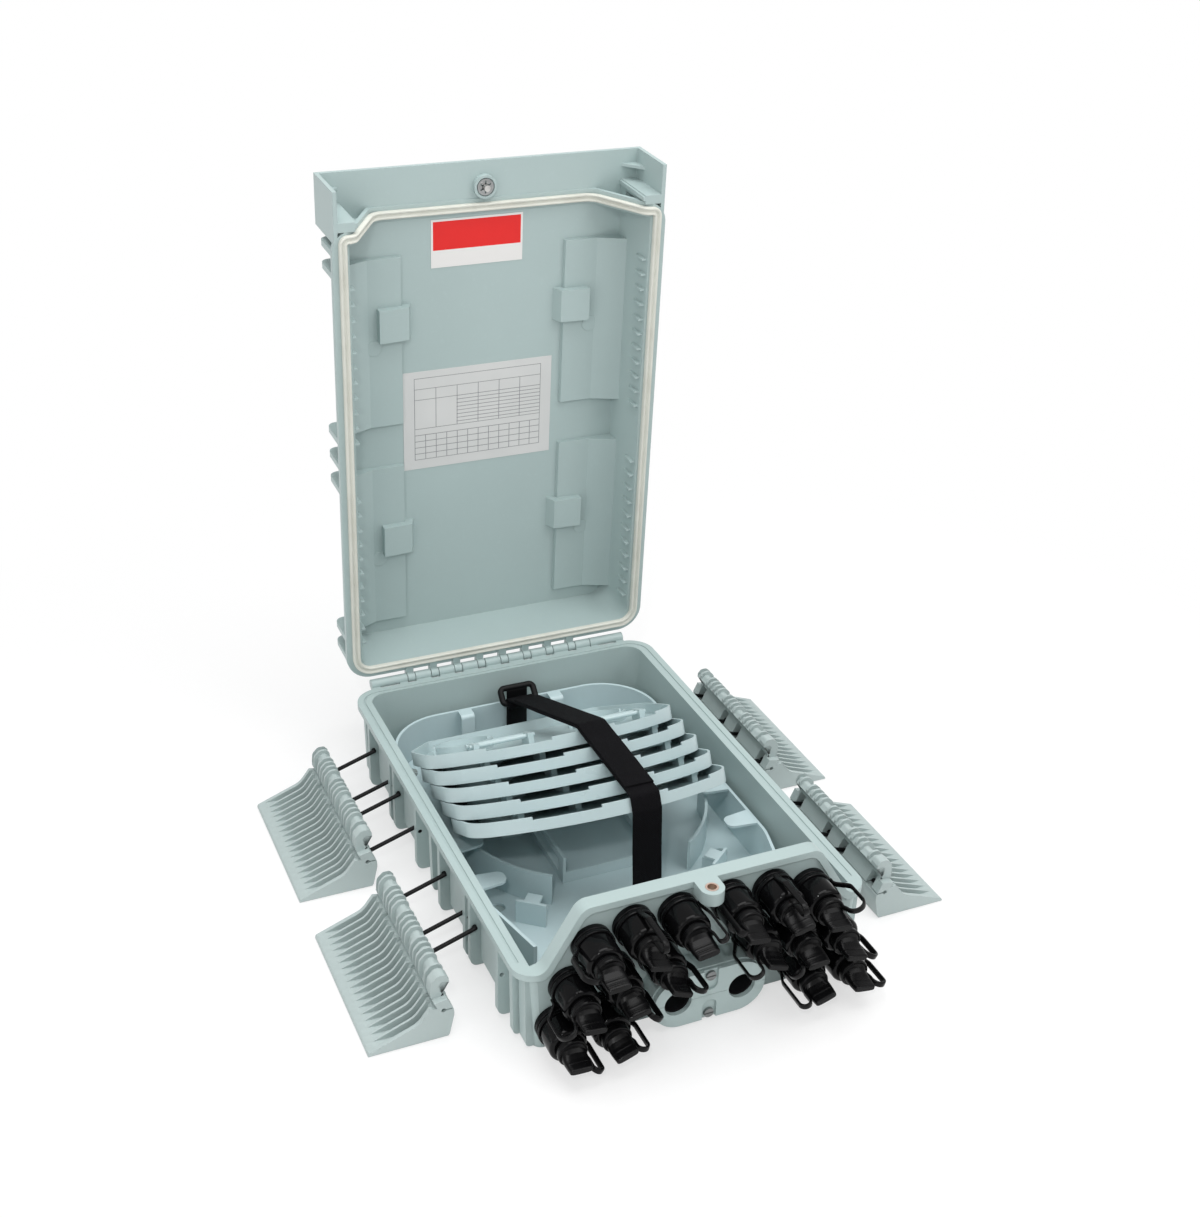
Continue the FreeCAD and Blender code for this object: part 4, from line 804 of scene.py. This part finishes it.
def buckle():
    """The buckle: a rounded bar carried round a rounded frame, and the webbing that holds it down."""
    x0, x1 = STRAP_X[0] - BUCKLE_SIDE, STRAP_X[1] + BUCKLE_SIDE
    corners = [(x0, *STRAP_PIVOT), (x1, *STRAP_PIVOT), (x1, *BUCKLE_TOP), (x0, *BUCKLE_TOP)]
    line = rounded_line(corners, [BUCKLE_CORNER] * 4, step=0.8, closed=True)
    slope = np.subtract(BUCKLE_TOP, STRAP_PIVOT)
    rise, lean = slope / np.linalg.norm(slope)
    section = rounded_box(BUCKLE_BAR, BUCKLE_BAR, BUCKLE_ROUND)
    bar = hoop(carried(line, (0.0, -lean, rise), section, closed=True))
    web = rounded_line([(np.mean(STRAP_X), y, z) for y, z in BUCKLE_WEB], [0, 2, 0], step=2.0)
    width = STRAP_X[1] - STRAP_X[0] - BUCKLE_WEB_NARROWER
    tape = tube(carried(web, (1.0, 0, 0), rounded_box(width, STRAP_THICK, BUCKLE_WEB_ROUND)))
    piece_from("buckle_moulding", [bar, tape], "strap_buckle", smooth_angle=50)


adapters()
for cap_index in range(len(ADAPTER_PLACES)):
    dust_cap(cap_index)
for latch_node in LATCHES:
    latch(latch_node)
gasket()
strap()
buckle()


def floor():
    """A pale paper floor: matt with a shadow near the box, plain white to the eye further out."""
    f = finish("floor_paper")
    seen = f.node("ShaderNodeLightPath", out="Is Camera Ray")
    seen = seen | f.node("ShaderNodeLightPath", out="Is Glossy Ray")
    distance = f.node("ShaderNodeVectorMath", {"operation": "LENGTH"}, {0: f.place}, out="Value")
    white = f.ramp(distance, *FLOOR_WHITE)
    paper = f.mix((0.84, 0.84, 0.84), (0.88, 0.88, 0.88), f.noise(300, 4))
    matt = f.node("ShaderNodeBsdfDiffuse", None, {"Color": paper})
    glow = f.node("ShaderNodeEmission", None, {"Color": (1, 1, 1), "Strength": 1.0})
    both = f.node("ShaderNodeMixShader", None, {0: seen * white, 1: matt, 2: glow})
    f.node("ShaderNodeOutputMaterial", None, {"Surface": both})
    mesh = bpy.data.meshes.new("floor")
    signs = ((-1, -1), (1, -1), (1, 1), (-1, 1))
    corners = [(x * FLOOR_REACH, y * FLOOR_REACH, FLOOR_LEVEL) for x, y in signs]
    mesh.from_pydata(corners, [], [(0, 1, 2, 3)])
    mesh.materials.append(f.owner)
    made = bpy.data.objects.new("floor", mesh)
    bpy.context.scene.collection.objects.link(made)


def room():
    """A soft white room that the camera sees as plain white."""
    f = Finish(bpy.data.worlds.new("room"))
    seen = f.node("ShaderNodeLightPath", out="Is Camera Ray")
    strength = seen * (1 - ROOM_LIGHT) + ROOM_LIGHT
    glow = f.node("ShaderNodeBackground", None, {"Color": (1, 1, 1), "Strength": strength})
    f.node("ShaderNodeOutputWorld", None, {"Surface": glow})
    bpy.context.scene.world = f.owner


def lamp(name, where, size, power):
    """A square lamp that faces the middle of the box."""
    light = bpy.data.lights.new(name, "AREA")
    light.size = size
    light.energy = power
    holder = bpy.data.objects.new(name, light)
    aim = Vector(LAMP_AIM) - Vector(where)
    holder.matrix_world = Matrix.Translation(where) @ aim.to_track_quat("-Z", "Y").to_matrix().to_4x4()
    bpy.context.scene.collection.objects.link(holder)


def camera():
    """The camera at the photograph's angle."""
    lens = bpy.data.cameras.new("camera")
    lens.lens = CAMERA_LENS
    lens.sensor_width = CAMERA_SENSOR
    lens.clip_end = CAMERA_REACH
    eye = bpy.data.objects.new("camera", lens)
    turn = Matrix.Rotation(CAMERA_HEADING, 4, "Z") @ Matrix.Rotation(math.pi / 2 - CAMERA_DIP, 4, "X")
    eye.matrix_world = Matrix.Translation(CAMERA_AT) @ turn @ Matrix.Rotation(CAMERA_ROLL, 4, "Z")
    bpy.context.scene.collection.objects.link(eye)
    bpy.context.scene.camera = eye


bpy.context.scene.view_settings.view_transform = "Standard"
floor()
room()
lamp("key", (1.0, -1.2, 1.5), 1.2, 9.5)
lamp("top", (0.1, 0.0, 1.9), 1.5, 25)
lamp("fill", (-1.4, -0.9, 0.9), 1.0, 4.5)
lamp("spark", (-0.55, -1.0, 1.1), 0.05, 3)
camera()
